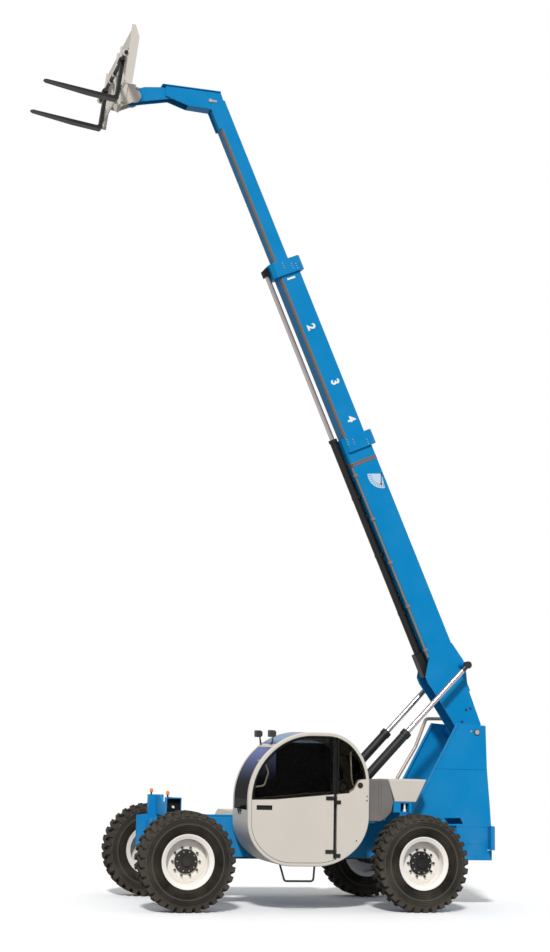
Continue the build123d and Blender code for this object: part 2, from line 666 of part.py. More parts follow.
def cab_outline(grow=0.0):
    """Rounded side outline of the cab, grown or shrunk all round."""
    with BuildLine() as path:
        FilletPolyline(*[(x, z) for x, z, _ in CAB_CORNERS], radius=[r for *_, r in CAB_CORNERS], close=True)
    make_face(path.edges())
    if grow:
        offset(amount=grow, mode=Mode.REPLACE)


def keep_above_belt(rise):
    """Cuts the sketch at hand down to what is above the belt line, raised by a margin."""
    line = [(x, z + rise) for x, z in BELT]
    with BuildLine() as path:
        Polyline(*line, (line[-1][0] - REACH, line[-1][1]), (-REACH, -REACH), (REACH, -REACH), (REACH, line[0][1]),
                 close=True)
    make_face(path.edges(), mode=Mode.SUBTRACT)


def keep_ahead(x, ahead=True):
    """Cuts the sketch at hand down to what is ahead of x, or behind it."""
    with Locations((x - REACH / 2 if ahead else x + REACH / 2, REACH / 2)):
        Rectangle(REACH, 2 * REACH, mode=Mode.SUBTRACT)


# side-view regions of the windows that run across the cab
WINDSCREEN = [(600, 1310), (1100, 1310), (1100, 2720), (518, 2138)]
ROOF_PANE = [(446, 2150), (1046, 2750), (-500, 2750), (-500, 2150)]
REAR_PANE = [(-650, 1450), (-650, 2050), (-950, 2050), (-950, 1450)]

with BuildPart() as cab_shell:
    with BuildSketch(side(CAB_OUT_Y)):
        cab_outline()
    extrude(amount=CAB_OUT_Y - CAB_IN_Y)
    fillet(cab_shell.edges().group_by(Axis.Y)[-1], CAB_EDGE_R)
    with BuildSketch(side(CAB_OUT_Y - DOOR_T)):
        cab_outline(-CAB_WALL)
    extrude(amount=CAB_OUT_Y - DOOR_T - CAB_IN_Y - CAB_WALL, mode=Mode.SUBTRACT)
    # the door's and the quarter panel's opening, through the outer face
    with BuildSketch(side(CAB_OUT_Y + 1)):
        cab_outline(-CAB_RIM)
    extrude(amount=DOOR_T + 2, mode=Mode.SUBTRACT)
    # windows across the cab, and the one beside the boom
    for region in (WINDSCREEN, ROOF_PANE, REAR_PANE):
        with BuildSketch(side(CAB_OUT_Y - WINDOW_SIDE)):
            outline(*region)
        extrude(amount=CAB_OUT_Y - CAB_IN_Y - 2 * WINDOW_SIDE, mode=Mode.SUBTRACT)
    with BuildSketch(side(CAB_IN_Y + CAB_WALL + 1)):
        cab_outline(-CAB_WALL - 50)
        keep_above_belt(0)
    extrude(amount=CAB_WALL + 2, mode=Mode.SUBTRACT)
    # post behind the door, and the mounts on the chassis rail
    with Locations((HINGE_X, CAB_OUT_Y - DOOR_T - 27.8, 1490)):
        Box(80, 55, 1620)
    for x in (-300, 350):
        with Locations((x, (RAIL_Y + CAB_IN_Y) / 2, 800)):
            Box(160, CAB_IN_Y - RAIL_Y, 200)
save(cab_shell, "cab_shell")


def hinge_leaf(toward, z, length):
    """One knuckle of a door hinge, with its arm along the outer face."""
    with Locations((HINGE_X, DOOR_HINGE_Y, z)):
        Cylinder(HINGE_R, KNUCKLE_L)
    with Locations((HINGE_X + toward * (5 + length / 2), CAB_OUT_Y + 4, z)):
        Box(length, 8, KNUCKLE_L)


with BuildPart() as cab_quarter:
    with BuildSketch(side(CAB_OUT_Y)):
        cab_outline(-CAB_RIM)
        keep_ahead(QUARTER_EDGE_X, ahead=False)
    extrude(amount=DOOR_T)
    for margin, depth in ((SASH, DOOR_T + 2), (SASH - PANE_LAP, PANE_T + 1 + PANE_GAP)):
        with BuildSketch(side(CAB_OUT_Y)):
            cab_outline(-CAB_RIM - DOOR_GAP - margin)
            keep_ahead(QUARTER_EDGE_X - margin, ahead=False)
            keep_above_belt(margin)
        extrude(amount=depth, mode=Mode.SUBTRACT)
    for z in DOOR_HINGES:
        hinge_leaf(-1, z - KNUCKLE_L / 2 - SLIDE_GAP, 70)
        with Locations((HINGE_X, DOOR_HINGE_Y, z)):
            Cylinder(HINGE_PIN_R, 2 * KNUCKLE_L + 6)
save(cab_quarter, "cab_quarter")

with BuildPart() as cab_door:
    with BuildSketch(side(CAB_OUT_Y)):
        cab_outline(-CAB_RIM - DOOR_GAP)
        keep_ahead(DOOR_EDGE_X)
    extrude(amount=DOOR_T)
    for margin, depth in ((SASH, DOOR_T + 2), (SASH - PANE_LAP, PANE_T + 1 + PANE_GAP)):
        with BuildSketch(side(CAB_OUT_Y)):
            cab_outline(-CAB_RIM - DOOR_GAP - margin)
            keep_ahead(DOOR_EDGE_X + margin)
            keep_above_belt(margin)
        extrude(amount=depth, mode=Mode.SUBTRACT)
    # grip recess
    with Locations((624, CAB_OUT_Y, 1347)):
        Box(208, 36, 53, mode=Mode.SUBTRACT)
    for z in DOOR_HINGES:
        hinge_leaf(1, z + KNUCKLE_L / 2, 130)
        with Locations((HINGE_X, DOOR_HINGE_Y, z + KNUCKLE_L / 2)):
            Cylinder(HINGE_PIN_R + PIN_GAP, KNUCKLE_L + 2, mode=Mode.SUBTRACT)
save(cab_door, "cab_door")

# panes bonded into the recesses of the door and the quarter panel
with BuildPart() as door_glass:
    with BuildSketch(side(CAB_OUT_Y - 1)):
        cab_outline(-CAB_RIM - DOOR_GAP - SASH + PANE_LAP - 1)
        keep_ahead(DOOR_EDGE_X + SASH - PANE_LAP + 1)
        keep_above_belt(SASH - PANE_LAP + 1)
    extrude(amount=PANE_T)
save(door_glass, "door_glass")

with BuildPart() as cab_glass:
    with BuildSketch(side(CAB_OUT_Y - 1)):
        cab_outline(-CAB_RIM - DOOR_GAP - SASH + PANE_LAP - 1)
        keep_ahead(QUARTER_EDGE_X - SASH + PANE_LAP - 1, ahead=False)
        keep_above_belt(SASH - PANE_LAP + 1)
    extrude(amount=PANE_T)
    # windscreen, roof and rear pane follow the shell's curve between its sides
    for region in (WINDSCREEN, ROOF_PANE, REAR_PANE):
        with BuildSketch(side(CAB_OUT_Y - WINDOW_SIDE - PANE_GAP)):
            outline(*region)
            offset(amount=-PANE_GAP, mode=Mode.REPLACE)
            with BuildSketch(mode=Mode.INTERSECT):
                cab_outline(-2)
                with BuildSketch(mode=Mode.SUBTRACT):
                    cab_outline(-2 - CURVED_PANE_T)
        extrude(amount=CAB_OUT_Y - CAB_IN_Y - 2 * (WINDOW_SIDE + PANE_GAP))
    # the pane beside the boom
    with BuildSketch(side(CAB_IN_Y + 1 + PANE_T)):
        cab_outline(-CAB_WALL - 50 - PANE_GAP)
        keep_above_belt(PANE_GAP)
    extrude(amount=PANE_T)
save(cab_glass, "cab_glass")

# two lamps on bent stems, on the bar between the windscreen and the roof pane
with BuildPart() as roof_lamps:
    for y, (foot_x, foot_z), (head_x, head_z) in ((600, (500, 2172), (548, 2306)), (1050, (492, 2178), (498, 2312))):
        with BuildSketch(side(y)):
            outline((foot_x - 14, foot_z - 10), (foot_x + 14, foot_z - 14), (head_x - 22, head_z - 40),
                    (head_x - 34, head_z - 20))
        extrude(amount=5, both=True)
        with BuildSketch(side(y)):
            outline((head_x - 56, head_z - 26), (head_x - 30, head_z - 46), (head_x + 24, head_z - 46),
                    (head_x + 34, head_z - 36), (head_x + 34, head_z + 36), (head_x + 24, head_z + 46),
                    (head_x - 30, head_z + 46), (head_x - 56, head_z + 26))
        extrude(amount=50, both=True)
        fillet(roof_lamps.edges().filter_by_position(Axis.Y, y + 49, y + 51), 8)
    with BuildSketch(side(CAB_OUT_Y)):
        cab_outline()
    extrude(amount=CAB_OUT_Y - CAB_IN_Y, mode=Mode.SUBTRACT)
save(roof_lamps, "roof_lamps")

with BuildPart() as seat:
    #    points of the side profile, half width, rounding
    for points, half_width, soft in (
        ([(-480, 850), (-60, 850), (-30, 880), (-60, 950), (-450, 935)], 245, 22),
        ([(-465, 900), (-390, 905), (-520, 1490), (-590, 1470)], 230, 22),
        ([(-602, 1520), (-535, 1525), (-555, 1660), (-615, 1650)], 130, 20),
    ):
        with BuildPart() as cushion:
            with BuildSketch(side(SEAT_Y)):
                outline(*points)
            extrude(amount=half_width, both=True)
            fillet(cushion.edges().filter_by(GeomType.LINE), soft)
        add(cushion.part)
    for y in (-70, 70):
        with Locations((-570, SEAT_Y + y, 1495)):
            Cylinder(8, 90)
    # pedestal, shaped to the floor
    with Locations((-250, SEAT_Y, (CAB_LOW + 860) / 2)):
        Box(300, 300, 860 - CAB_LOW)
    with BuildSketch(side(CAB_OUT_Y)):
        cab_outline(-CAB_WALL)
    extrude(amount=CAB_OUT_Y - CAB_IN_Y, mode=Mode.INTERSECT)
save(seat, "seat")

# console, with the column and ring of the steering wheel
with BuildPart() as cab_controls:
    with BuildSketch(side(SEAT_Y + 130)):
        outline((440, CAB_LOW), (580, CAB_LOW), (560, 1200), (470, 1250), (400, 1130))
    extrude(amount=260)
    with BuildSketch(side(CAB_OUT_Y)):
        cab_outline(-CAB_WALL)
    extrude(amount=CAB_OUT_Y - CAB_IN_Y, mode=Mode.INTERSECT)
    column = Vector(-sin(radians(30)), 0, cos(radians(30)))
    with BuildSketch(Plane(origin=WHEEL_HUB, x_dir=(0, 1, 0), z_dir=(cos(radians(30)), 0, sin(radians(30))))):
        with Locations((WHEEL_RING_R, 0)):
            RegularPolygon(13, 6)
    revolve(axis=Axis(WHEEL_HUB, column))
    with BuildSketch(Plane(origin=WHEEL_HUB, x_dir=(0, 1, 0), z_dir=column)):
        Rectangle(2 * WHEEL_RING_R, 26)
        Circle(45)
    extrude(amount=6, both=True)
    with BuildSketch(Plane(origin=WHEEL_HUB, x_dir=(0, 1, 0), z_dir=column)):
        Circle(20)
    extrude(amount=-230)
save(cab_controls, "cab_controls")

# boarding step: a bent bar under the door, shaped to the cab's underside
with BuildPart() as cab_step:
    with BuildLine() as step_line:
        FilletPolyline((-116, 1120, CAB_LOW + 30), (-100, 1120, 400), (300, 1120, 400), (370, 1120, CAB_LOW + 30),
                       radius=40)
    with BuildSketch(Plane(origin=step_line.wire() @ 0, z_dir=step_line.wire() % 0)):
        Circle(14)
    sweep()
    with BuildSketch(side(CAB_OUT_Y)):
        cab_outline()
    extrude(amount=CAB_OUT_Y - CAB_IN_Y, mode=Mode.SUBTRACT)
save(cab_step, "cab_step")


# ================================================================= boom
def section(size, grow=0.0):
    """One boom section's outline across the boom, grown by a margin all round."""
    width = size["width"] + 2 * grow
    depth = size["top"] - size["bottom"] + 2 * grow
    with Locations((0, (size["top"] + size["bottom"]) / 2)):
        outline = Rectangle(width, depth)
    chamfer(outline.vertices(), SECTION_CHAMFER)


def collar_ring(size):
    """The collar's outline: wider than its section, and standing proud on top."""
    high = size["top"] + COLLAR_RISE
    low = size["collar_low"]
    with Locations((0, (high + low) / 2)):
        ring = Rectangle(size["width"] + 2 * COLLAR_SIDE, high - low)
    chamfer(ring.vertices(), COLLAR_CHAMFER)


with BuildPart() as outer_boom:
    with BuildSketch(across(OUTER["start"])):
        section(OUTER)
    extrude(amount=OUTER["end"] - OUTER["start"])
    # heel plates, with the ear that takes the lift cylinders' rods
    for lr in (1, -1):
        with BuildSketch(boom_side(lr * (OUTER["width"] / 2 - 10))):
            outline(
                (1260, OUTER["top"]), (LIFT_EYE_AL + 60, LIFT_EYE_UP + 60), (LIFT_EYE_AL - 50, LIFT_EYE_UP + 50),
                (580, 262), (20, 238), (-80, 150), (-120, 30), (-90, -80), (60, -130), (680, -240), (860, -285),
                (960, -285), (1180, OUTER["bottom"]),
            )
        extrude(amount=10, both=True)
    # pivot tube and rod-eye tube
    with BuildSketch(boom_side(0)):
        Circle(PIVOT_BOSS_R)
    extrude(amount=TOWER_Y - TOWER_T - SLIDE_GAP, both=True)
    with BuildSketch(boom_side(0)):
        with Locations((LIFT_EYE_AL, LIFT_EYE_UP)):
            Circle(50)
    extrude(amount=LIFT_Y - 42, both=True)
    # collar, and the clamp band below it
    with BuildSketch(across(OUTER["end"] - COLLAR_L)):
        collar_ring(OUTER)
    extrude(amount=COLLAR_L)
    for at in (BAND_AT, BAND_AT + 36):
        with BuildSketch(across(at)):
            section(OUTER, 4)
        extrude(amount=14)
    # hollow for the next section, narrowed to its wear pads at the collar
    with BuildSketch(across(OUTER["start"] - 1)):
        section(OUTER, -BOOM_WALL)
    extrude(amount=OUTER["end"] - OUTER["start"] - 80, mode=Mode.SUBTRACT)
    with BuildSketch(across(OUTER["end"] - 100)):
        section(MID, SLIDE_GAP)
    extrude(amount=200, mode=Mode.SUBTRACT)
    with BuildSketch(boom_side(0)):
        Circle(PIVOT_PIN_R + PIN_GAP)
    extrude(amount=TOWER_Y, both=True, mode=Mode.SUBTRACT)
save(outer_boom, "outer_boom")

with BuildPart() as mid_boom:
    with BuildSketch(across(MID["start"])):
        section(MID)
    extrude(amount=MID["end"] - MID["start"])
    # shoe that rides inside the outer section
    with BuildSketch(across(MID["start"])):
        section(OUTER, -BOOM_WALL - SLIDE_GAP)
    extrude(amount=90)
    with BuildSketch(across(MID["end"] - COLLAR_L)):
        collar_ring(MID)
    extrude(amount=COLLAR_L)
    # lug for the telescopic rod's eye
    with BuildSketch(boom_side(0)):
        with BuildLine():
            Polyline(
                (MID["end"] - ROD_LUG, MID["bottom"]), (MID["end"] - ROD_LUG, TELE_AXIS - 45), (MID["end"] - 40, TELE_AXIS - 45),
                (MID["end"], MID["bottom"]), close=True,
            )
        make_face()
    extrude(amount=60, both=True)
    with BuildSketch(across(MID["start"] - 1)):
        section(MID, -BOOM_WALL)
    extrude(amount=MID["end"] - MID["start"] - 80, mode=Mode.SUBTRACT)
    with BuildSketch(across(MID["end"] - 100)):
        section(FLY, SLIDE_GAP)
    extrude(amount=200, mode=Mode.SUBTRACT)
save(mid_boom, "mid_boom")

with BuildPart() as tele_barrel:
    with BuildSketch(across(TELE_BARREL[0])):
        with Locations((0, TELE_AXIS)):
            Circle(TELE_BARREL_R)
            Circle(TELE_ROD_R + SLIDE_GAP, mode=Mode.SUBTRACT)
    extrude(amount=TELE_BARREL[1] - TELE_BARREL[0])
    # gland ring, foot block, and the saddles that hold it under the outer section
    with BuildSketch(across(OUTER["end"] + 1)):
        with Locations((0, TELE_AXIS)):
            Circle(TELE_BARREL_R + GLAND_PROUD)
            Circle(TELE_ROD_R + SLIDE_GAP, mode=Mode.SUBTRACT)
    extrude(amount=TELE_BARREL[1] - OUTER["end"] - 1)
    with BuildSketch(across(TELE_BARREL[0])):
        with Locations((0, (OUTER["bottom"] + TELE_AXIS - 75) / 2)):
            Rectangle(150, OUTER["bottom"] - TELE_AXIS + 75)
    extrude(amount=TELE_BLOCK)
    for at in TELE_SADDLES:
        with BuildSketch(across(at)):
            with Locations((0, (OUTER["bottom"] + TELE_AXIS) / 2)):
                Rectangle(2 * TELE_BARREL_R + 30, OUTER["bottom"] - TELE_AXIS)
            with Locations((0, TELE_AXIS)):
                Circle(TELE_BARREL_R + 4)
                Circle(TELE_BARREL_R - 5, mode=Mode.SUBTRACT)
        extrude(amount=50)
save(tele_barrel, "tele_barrel")

# a hard line along each lower corner of the outer section, held by clamp blocks
with BuildPart() as boom_lines:
    for lr in (1, -1):
        line_y = lr * (OUTER["width"] / 2 + 6)
        line_t = OUTER["bottom"] - 6
        with BuildSketch(across(LINE_SPAN[0])):
            with Locations((line_y, line_t)):
                Circle(LINE_R)
        extrude(amount=LINE_SPAN[1] - LINE_SPAN[0])
        for at in range(LINE_CLAMPS):
            start = LINE_SPAN[0] + 100 + at * (LINE_SPAN[1] - LINE_SPAN[0] - 240) / (LINE_CLAMPS - 1)
            with BuildSketch(across(start)):
                with Locations((line_y, line_t)):
                    Rectangle(2 * LINE_R + 20, 2 * LINE_R + 20)
            extrude(amount=40)
    with BuildSketch(across(LINE_SPAN[0] - 1)):
        section(OUTER)
    extrude(amount=LINE_SPAN[1] - LINE_SPAN[0] + 2, mode=Mode.SUBTRACT)
save(boom_lines, "boom_lines")

with BuildPart() as tele_rod:
    with BuildSketch(across(TELE_ROD_START)):
        with Locations((0, TELE_AXIS)):
            Circle(TELE_ROD_R)
    extrude(amount=MID["end"] - ROD_LUG - TELE_ROD_START)
save(tele_rod, "tele_rod")

# side outlines of the gooseneck's plates and of its tip, from the tip's pivot
NECK = [(-1305, 230), (-470, 230), (-470, 70), (-820, -35), (-1170, -45), (-1300, -340), (-1495, -260)]
TIP = [(-580, 200), (-420, 200), (-150, 165), (60, 66), (TIP_R, 0), (60, -66), (0, -TIP_R), (-150, -50), (-580, 50)]


def from_tip(points):
    return [(TIP_X + dx, TIP_Z + dz) for dx, dz in points]


with BuildPart() as fly_boom:
    with BuildSketch(across(FLY["start"])):
        section(FLY)
    extrude(amount=FLY["end"] - FLY["start"])
    with BuildSketch(across(FLY["start"])):
        section(MID, -BOOM_WALL - SLIDE_GAP)
    extrude(amount=90)
    with BuildSketch(across(FLY["start"] - 1)):
        section(FLY, -BOOM_WALL)
    extrude(amount=FLY["end"] - FLY["start"] - 60, mode=Mode.SUBTRACT)
    # gooseneck: two side plates, a top plate with a lip, a bottom plate, and the narrower tip
    for lr in (1, -1):
        with BuildSketch(side(lr * (FLY["width"] / 2 - NECK_PLATE / 2))):
            outline(*from_tip(NECK))
        extrude(amount=NECK_PLATE / 2, both=True)
        with BuildSketch(side(lr * (TIP_Y - NECK_PLATE / 2))):
            outline(*from_tip(TIP))
        extrude(amount=NECK_PLATE / 2, both=True)
    for (start_x, start_z), (end_x, end_z), rise, half_width in (
        (NECK[0], (TIP[1][0], NECK[0][1]), NECK_LIP, FLY["width"] / 2 + 15),
        (NECK[4], NECK[3], NECK_LIP, FLY["width"] / 2 - 1),
    ):
        with BuildSketch(side(0)):
            outline(*from_tip([(start_x, start_z), (end_x, end_z), (end_x, end_z + rise), (start_x, start_z + rise)]))
        extrude(amount=half_width, both=True)
    with BuildSketch(side(0)):
        with Locations((TIP_X, TIP_Z)):
            Circle(TIP_PIN_R + PIN_GAP)
    extrude(amount=FLY["width"], both=True, mode=Mode.SUBTRACT)
    with BuildSketch(side(0)):
        with Locations(TILT_BASE):
            Circle(TILT_PIN_R)
    extrude(amount=FLY["width"] / 2, both=True)
save(fly_boom, "fly_boom")


# ================================================================= cylinders
EYE = BOOM.from_local_coords((LIFT_EYE_AL, LIFT_EYE_UP, 0))
HORN = (TIP_X - HORN_R * cos(radians(HORN_ANGLE)), TIP_Z + HORN_R * sin(radians(HORN_ANGLE)))


def along_side(start, end, y):
    """Plane at a cylinder's foot: local x runs to the rod's eye, local y stays in the side view."""
    length = hypot(end[0] - start[0], end[1] - start[1])
    heading = ((end[0] - start[0]) / length, 0, (end[1] - start[1]) / length)
    return Plane(origin=(start[0], y, start[1]), x_dir=heading, z_dir=(0, -1, 0)), length


# name, foot, eye, lateral places, barrel radius and length, rod radius and length, pin radius, eye half width
CYLINDERS = [
    ("lift", LIFT_BASE, (EYE.X, EYE.Z), (LIFT_Y, -LIFT_Y), LIFT_BARREL_R, LIFT_BARREL_L, LIFT_ROD_R, LIFT_ROD_L,
     LIFT_PIN_R, 35),
    ("tilt", TILT_BASE, HORN, (0,), TILT_BARREL_R, TILT_BARREL_L, TILT_ROD_R, TILT_ROD_L, TILT_PIN_R, 20),
]
for name, foot, eye, places, barrel_r, barrel_l, rod_r, rod_l, pin_r, eye_w in CYLINDERS:
    with BuildPart() as barrel:
        for y in places:
            plane, length = along_side(foot, eye, y)
            section_plane = Plane(origin=plane.origin, x_dir=(0, 1, 0), z_dir=plane.x_dir)
            with BuildSketch(section_plane.offset(pin_r + 20)):
                Circle(barrel_r)
            extrude(amount=barrel_l - pin_r - 20)
            with BuildSketch(section_plane.offset(barrel_l - GLAND_L)):
                Circle(barrel_r + GLAND_PROUD)
            extrude(amount=GLAND_L)
            with BuildSketch(section_plane.offset(pin_r + 50)):
                Circle(rod_r + SLIDE_GAP)
            extrude(amount=barrel_l, mode=Mode.SUBTRACT)
            with BuildSketch(plane):
                Circle(pin_r + 26)
            extrude(amount=eye_w, both=True)
            with BuildSketch(plane):
                Circle(pin_r + PIN_GAP)
            extrude(amount=eye_w + 1, both=True, mode=Mode.SUBTRACT)
    save(barrel, f"{name}_barrel")
    with BuildPart() as rod:
        for y in places:
            plane, length = along_side(foot, eye, y)
            section_plane = Plane(origin=plane.origin, x_dir=(0, 1, 0), z_dir=plane.x_dir)
            with BuildSketch(section_plane.offset(length - rod_l)):
                Circle(rod_r)
            extrude(amount=rod_l - 10)
            with BuildSketch(plane):
                with Locations((length, 0)):
                    Circle(pin_r + 14)
            extrude(amount=eye_w, both=True)
    save(rod, f"{name}_rod")

# ================================================================= carriage and forks
with BuildPart() as coupler:
    for lr in (1, -1):
        with BuildSketch(carriage_side(lr * (TIP_Y + 5 + 15))):
            Circle(100)
            with BuildLine():
                Polyline((0, -100), (CARRIAGE_BACK, -220), (CARRIAGE_BACK, 200), (0, 100), close=True)
            make_face()
        extrude(amount=15, both=True)
        # horn ears beside the tilt rod's eye
        with BuildSketch(carriage_side(lr * 38)):
            horn = CARRIAGE.to_local_coords(Vector(HORN[0], 0, HORN[1]))
            with BuildLine():
                Polyline(
                    (0, -40), (CARRIAGE_BACK, -60), (CARRIAGE_BACK, 150), (horn.X + 40, horn.Y + 40),
                    (horn.X - 40, horn.Y + 40), (horn.X - 40, horn.Y), (-40, 0), close=True,
                )
            make_face()
        extrude(amount=13, both=True)
    with BuildSketch(carriage_side(0)):
        with Locations((CARRIAGE_BACK - 12, -10)):
            Rectangle(24, 420)
    extrude(amount=COUPLER_Y, both=True)
    with BuildSketch(carriage_side(0)):
        Circle(TIP_PIN_R)
    extrude(amount=COUPLER_Y, both=True)
save(coupler, "coupler")

with BuildPart() as carriage:
    for y, thick in ((CARRIAGE_Y, 25), (-CARRIAGE_Y + 25, 25), (COUPLER_Y + 24, 24), (-COUPLER_Y, 24)):
        with BuildSketch(carriage_side(y)):
            with BuildLine():
                Polyline(
                    (CARRIAGE_BACK, CARRIAGE_LOW - 45), (CARRIAGE_FRONT - 40, CARRIAGE_LOW - 45),
                    (CARRIAGE_FRONT, CARRIAGE_LOW), (CARRIAGE_FRONT + 15, CARRIAGE_TOP),
                    (CARRIAGE_FRONT - 34, CARRIAGE_TOP), (CARRIAGE_BACK, 520), close=True,
                )
            make_face()
            with Locations((SHAFT_A, SHAFT_B)):
                Circle(SHAFT_R + 22)
        extrude(amount=thick)
    # pads where the coupler's cheeks bolt between the inner uprights
    for lr in (1, -1):
        with BuildSketch(carriage_side(lr * (COUPLER_Y + 12))):
            with Locations((CARRIAGE_BACK - 30, 0)):
                Rectangle(70, 300)
        extrude(amount=12, both=True)
    for low, high in ((CARRIAGE_TOP - 270, CARRIAGE_TOP), (CARRIAGE_LOW - 45, CARRIAGE_LOW + 45)):
        with BuildSketch(carriage_side(0)):
            with Locations((CARRIAGE_FRONT - 20, (low + high) / 2)):
                Rectangle(16, high - low)
        extrude(amount=CARRIAGE_Y - 1, both=True)
    with BuildSketch(carriage_side(0)):
        with Locations((SHAFT_A, SHAFT_B)):
            Circle(SHAFT_R + PIN_GAP)
    extrude(amount=CARRIAGE_Y + 1, both=True, mode=Mode.SUBTRACT)
save(carriage, "carriage")

with BuildPart() as fork_shaft:
    with BuildSketch(carriage_side(0)):
        with Locations((SHAFT_A, SHAFT_B)):
            Circle(SHAFT_R)
    extrude(amount=CARRIAGE_Y + 20, both=True)
save(fork_shaft, "fork_shaft")

for name, y in (("fork_left", FORK_Y), ("fork_right", -FORK_Y)):
    with BuildPart() as fork:
        back = CARRIAGE_FRONT + 1
        top = FORK_HEEL + FORK_T
        with BuildSketch(carriage_side(y)):
            outline(
                (back, FORK_HEEL + 20), (back + 20, FORK_HEEL), (back + 0.4 * FORK_L, FORK_HEEL),
                (back + FORK_L, top - 12), (back + FORK_L, top), (back + FORK_T + 30, top), (back + FORK_T, top + 30),
                (back + FORK_T, SHAFT_B - 20), (back, SHAFT_B - 20),
            )
            with Locations((SHAFT_A, SHAFT_B)):
                Circle(SHAFT_R + 20)
            with Locations((SHAFT_A, SHAFT_B)):
                Circle(SHAFT_R + PIN_GAP, mode=Mode.SUBTRACT)
        extrude(amount=FORK_W / 2, both=True)
        chamfer(fork.edges().filter_by(Axis((0, 0, 0), CARRIAGE.y_dir)).group_by(Axis.X)[-1], 36)
    save(fork, name)
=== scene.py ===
"""Rough-terrain telehandler: finishes, small parts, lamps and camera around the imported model."""
from math import cos, pi, radians, sin

import bmesh
import bpy
from mathutils import Matrix, Vector


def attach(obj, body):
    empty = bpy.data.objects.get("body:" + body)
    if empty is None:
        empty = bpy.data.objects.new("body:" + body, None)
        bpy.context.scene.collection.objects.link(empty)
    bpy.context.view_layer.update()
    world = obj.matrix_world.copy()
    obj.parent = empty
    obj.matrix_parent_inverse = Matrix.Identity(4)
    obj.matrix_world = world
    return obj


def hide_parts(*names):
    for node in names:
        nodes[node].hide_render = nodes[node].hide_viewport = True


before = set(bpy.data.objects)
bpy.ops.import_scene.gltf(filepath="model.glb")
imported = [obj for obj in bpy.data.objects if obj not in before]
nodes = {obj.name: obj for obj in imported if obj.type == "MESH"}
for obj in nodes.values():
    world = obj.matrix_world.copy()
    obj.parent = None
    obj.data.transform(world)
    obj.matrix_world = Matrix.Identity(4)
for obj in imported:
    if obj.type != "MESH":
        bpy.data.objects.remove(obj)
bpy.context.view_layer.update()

# ================================================================ stage
# The machine stands on a plain white floor that fades into a white surround.
# One broad sun from the cab side and an even sky light it at a plain level.
# The camera is a long lens at chest height off the front left corner.
CAMERA_AT = Vector((7.043, 21.516, 2.2313))
CAMERA_RIGHT = Vector((-0.96506, 0.26059, 0.02753))
CAMERA_UP = Vector((0.06867, 0.15012, 0.98629))
CAMERA_AHEAD = Vector((-0.25288, -0.95371, 0.16277))
CAMERA_LENS = 59.94
CAMERA_SHIFT = 0.0813
SKY_LEVEL = 0.6
SUN_LEVEL = 2.7
SUN_TURN = (radians(48), 0, radians(158))
FLOOR_HALF = 60.0
FLOOR_COLOR = (0.93, 0.93, 0.93, 1)
FLOOR_BOUNCE = (0.3, 0.3, 0.3, 1)  # the floor as it lights the machine, like a yard's worn asphalt
FLOOR_FADE = (7.0, 16.0)           # where the floor starts and ends fading into the surround


def node_of(tree, kind, **values):
    """A node of that kind in the tree, with its plain properties set."""
    node = tree.nodes.new(kind)
    for name, value in values.items():
        setattr(node, name, value)
    return node


camera = bpy.data.objects.new("camera", bpy.data.cameras.new("camera"))
turn = Matrix((CAMERA_RIGHT, CAMERA_UP, -CAMERA_AHEAD)).transposed().to_4x4()
camera.matrix_world = Matrix.Translation(CAMERA_AT) @ turn
camera.data.lens = CAMERA_LENS
camera.data.shift_x = CAMERA_SHIFT
camera.data.clip_end = 200
bpy.context.scene.collection.objects.link(camera)
bpy.context.scene.camera = camera
bpy.context.scene.view_settings.view_transform = "Standard"

world = bpy.data.worlds.new("sky")
world.use_nodes = True
bpy.context.scene.world = world
sky_tree = world.node_tree
sky = sky_tree.nodes["Background"]
rays = node_of(sky_tree, "ShaderNodeLightPath")
seen = node_of(sky_tree, "ShaderNodeMath", operation="MAXIMUM")
sky_tree.links.new(rays.outputs["Is Camera Ray"], seen.inputs[0])
sky_tree.links.new(rays.outputs["Is Transmission Ray"], seen.inputs[1])
level = node_of(sky_tree, "ShaderNodeMapRange")
level.inputs["To Min"].default_value = SKY_LEVEL
level.inputs["To Max"].default_value = 1.0
sky_tree.links.new(seen.outputs[0], level.inputs["Value"])
sky_tree.links.new(level.outputs["Result"], sky.inputs["Strength"])
sky.inputs["Color"].default_value = (1, 1, 1, 1)

sun = bpy.data.objects.new("sun", bpy.data.lights.new("sun", "SUN"))
sun.data.energy = SUN_LEVEL
sun.data.angle = radians(6)
sun.rotation_euler = SUN_TURN
bpy.context.scene.collection.objects.link(sun)

floor_mesh = bpy.data.meshes.new("floor")
floor_mesh.from_pydata([(x * FLOOR_HALF, y * FLOOR_HALF, 0) for x, y in ((-1, -1), (1, -1), (1, 1), (-1, 1))],
                       [], [(0, 1, 2, 3)])
floor = bpy.data.objects.new("floor", floor_mesh)
bpy.context.scene.collection.objects.link(floor)
floor_finish = bpy.data.materials.new("floor")
floor_finish.use_nodes = True
tree = floor_finish.node_tree
rays = node_of(tree, "ShaderNodeLightPath")
seen = node_of(tree, "ShaderNodeMath", operation="MAXIMUM")
shown = node_of(tree, "ShaderNodeMath", operation="MAXIMUM")
tone = node_of(tree, "ShaderNodeMix", data_type="RGBA")
tone.inputs["A"].default_value = FLOOR_BOUNCE
tone.inputs["B"].default_value = FLOOR_COLOR
tree.links.new(rays.outputs["Is Camera Ray"], seen.inputs[0])
tree.links.new(rays.outputs["Is Transmission Ray"], seen.inputs[1])
tree.links.new(seen.outputs[0], shown.inputs[0])
tree.links.new(rays.outputs["Is Glossy Ray"], shown.inputs[1])
tree.links.new(shown.outputs[0], tone.inputs["Factor"])
tree.links.new(tone.outputs["Result"], tree.nodes["Principled BSDF"].inputs["Base Color"])
tree.nodes["Principled BSDF"].inputs["Roughness"].default_value = 0.9
place = node_of(tree, "ShaderNodeTexCoord")
distance = node_of(tree, "ShaderNodeVectorMath", operation="LENGTH")
fade = node_of(tree, "ShaderNodeMapRange")
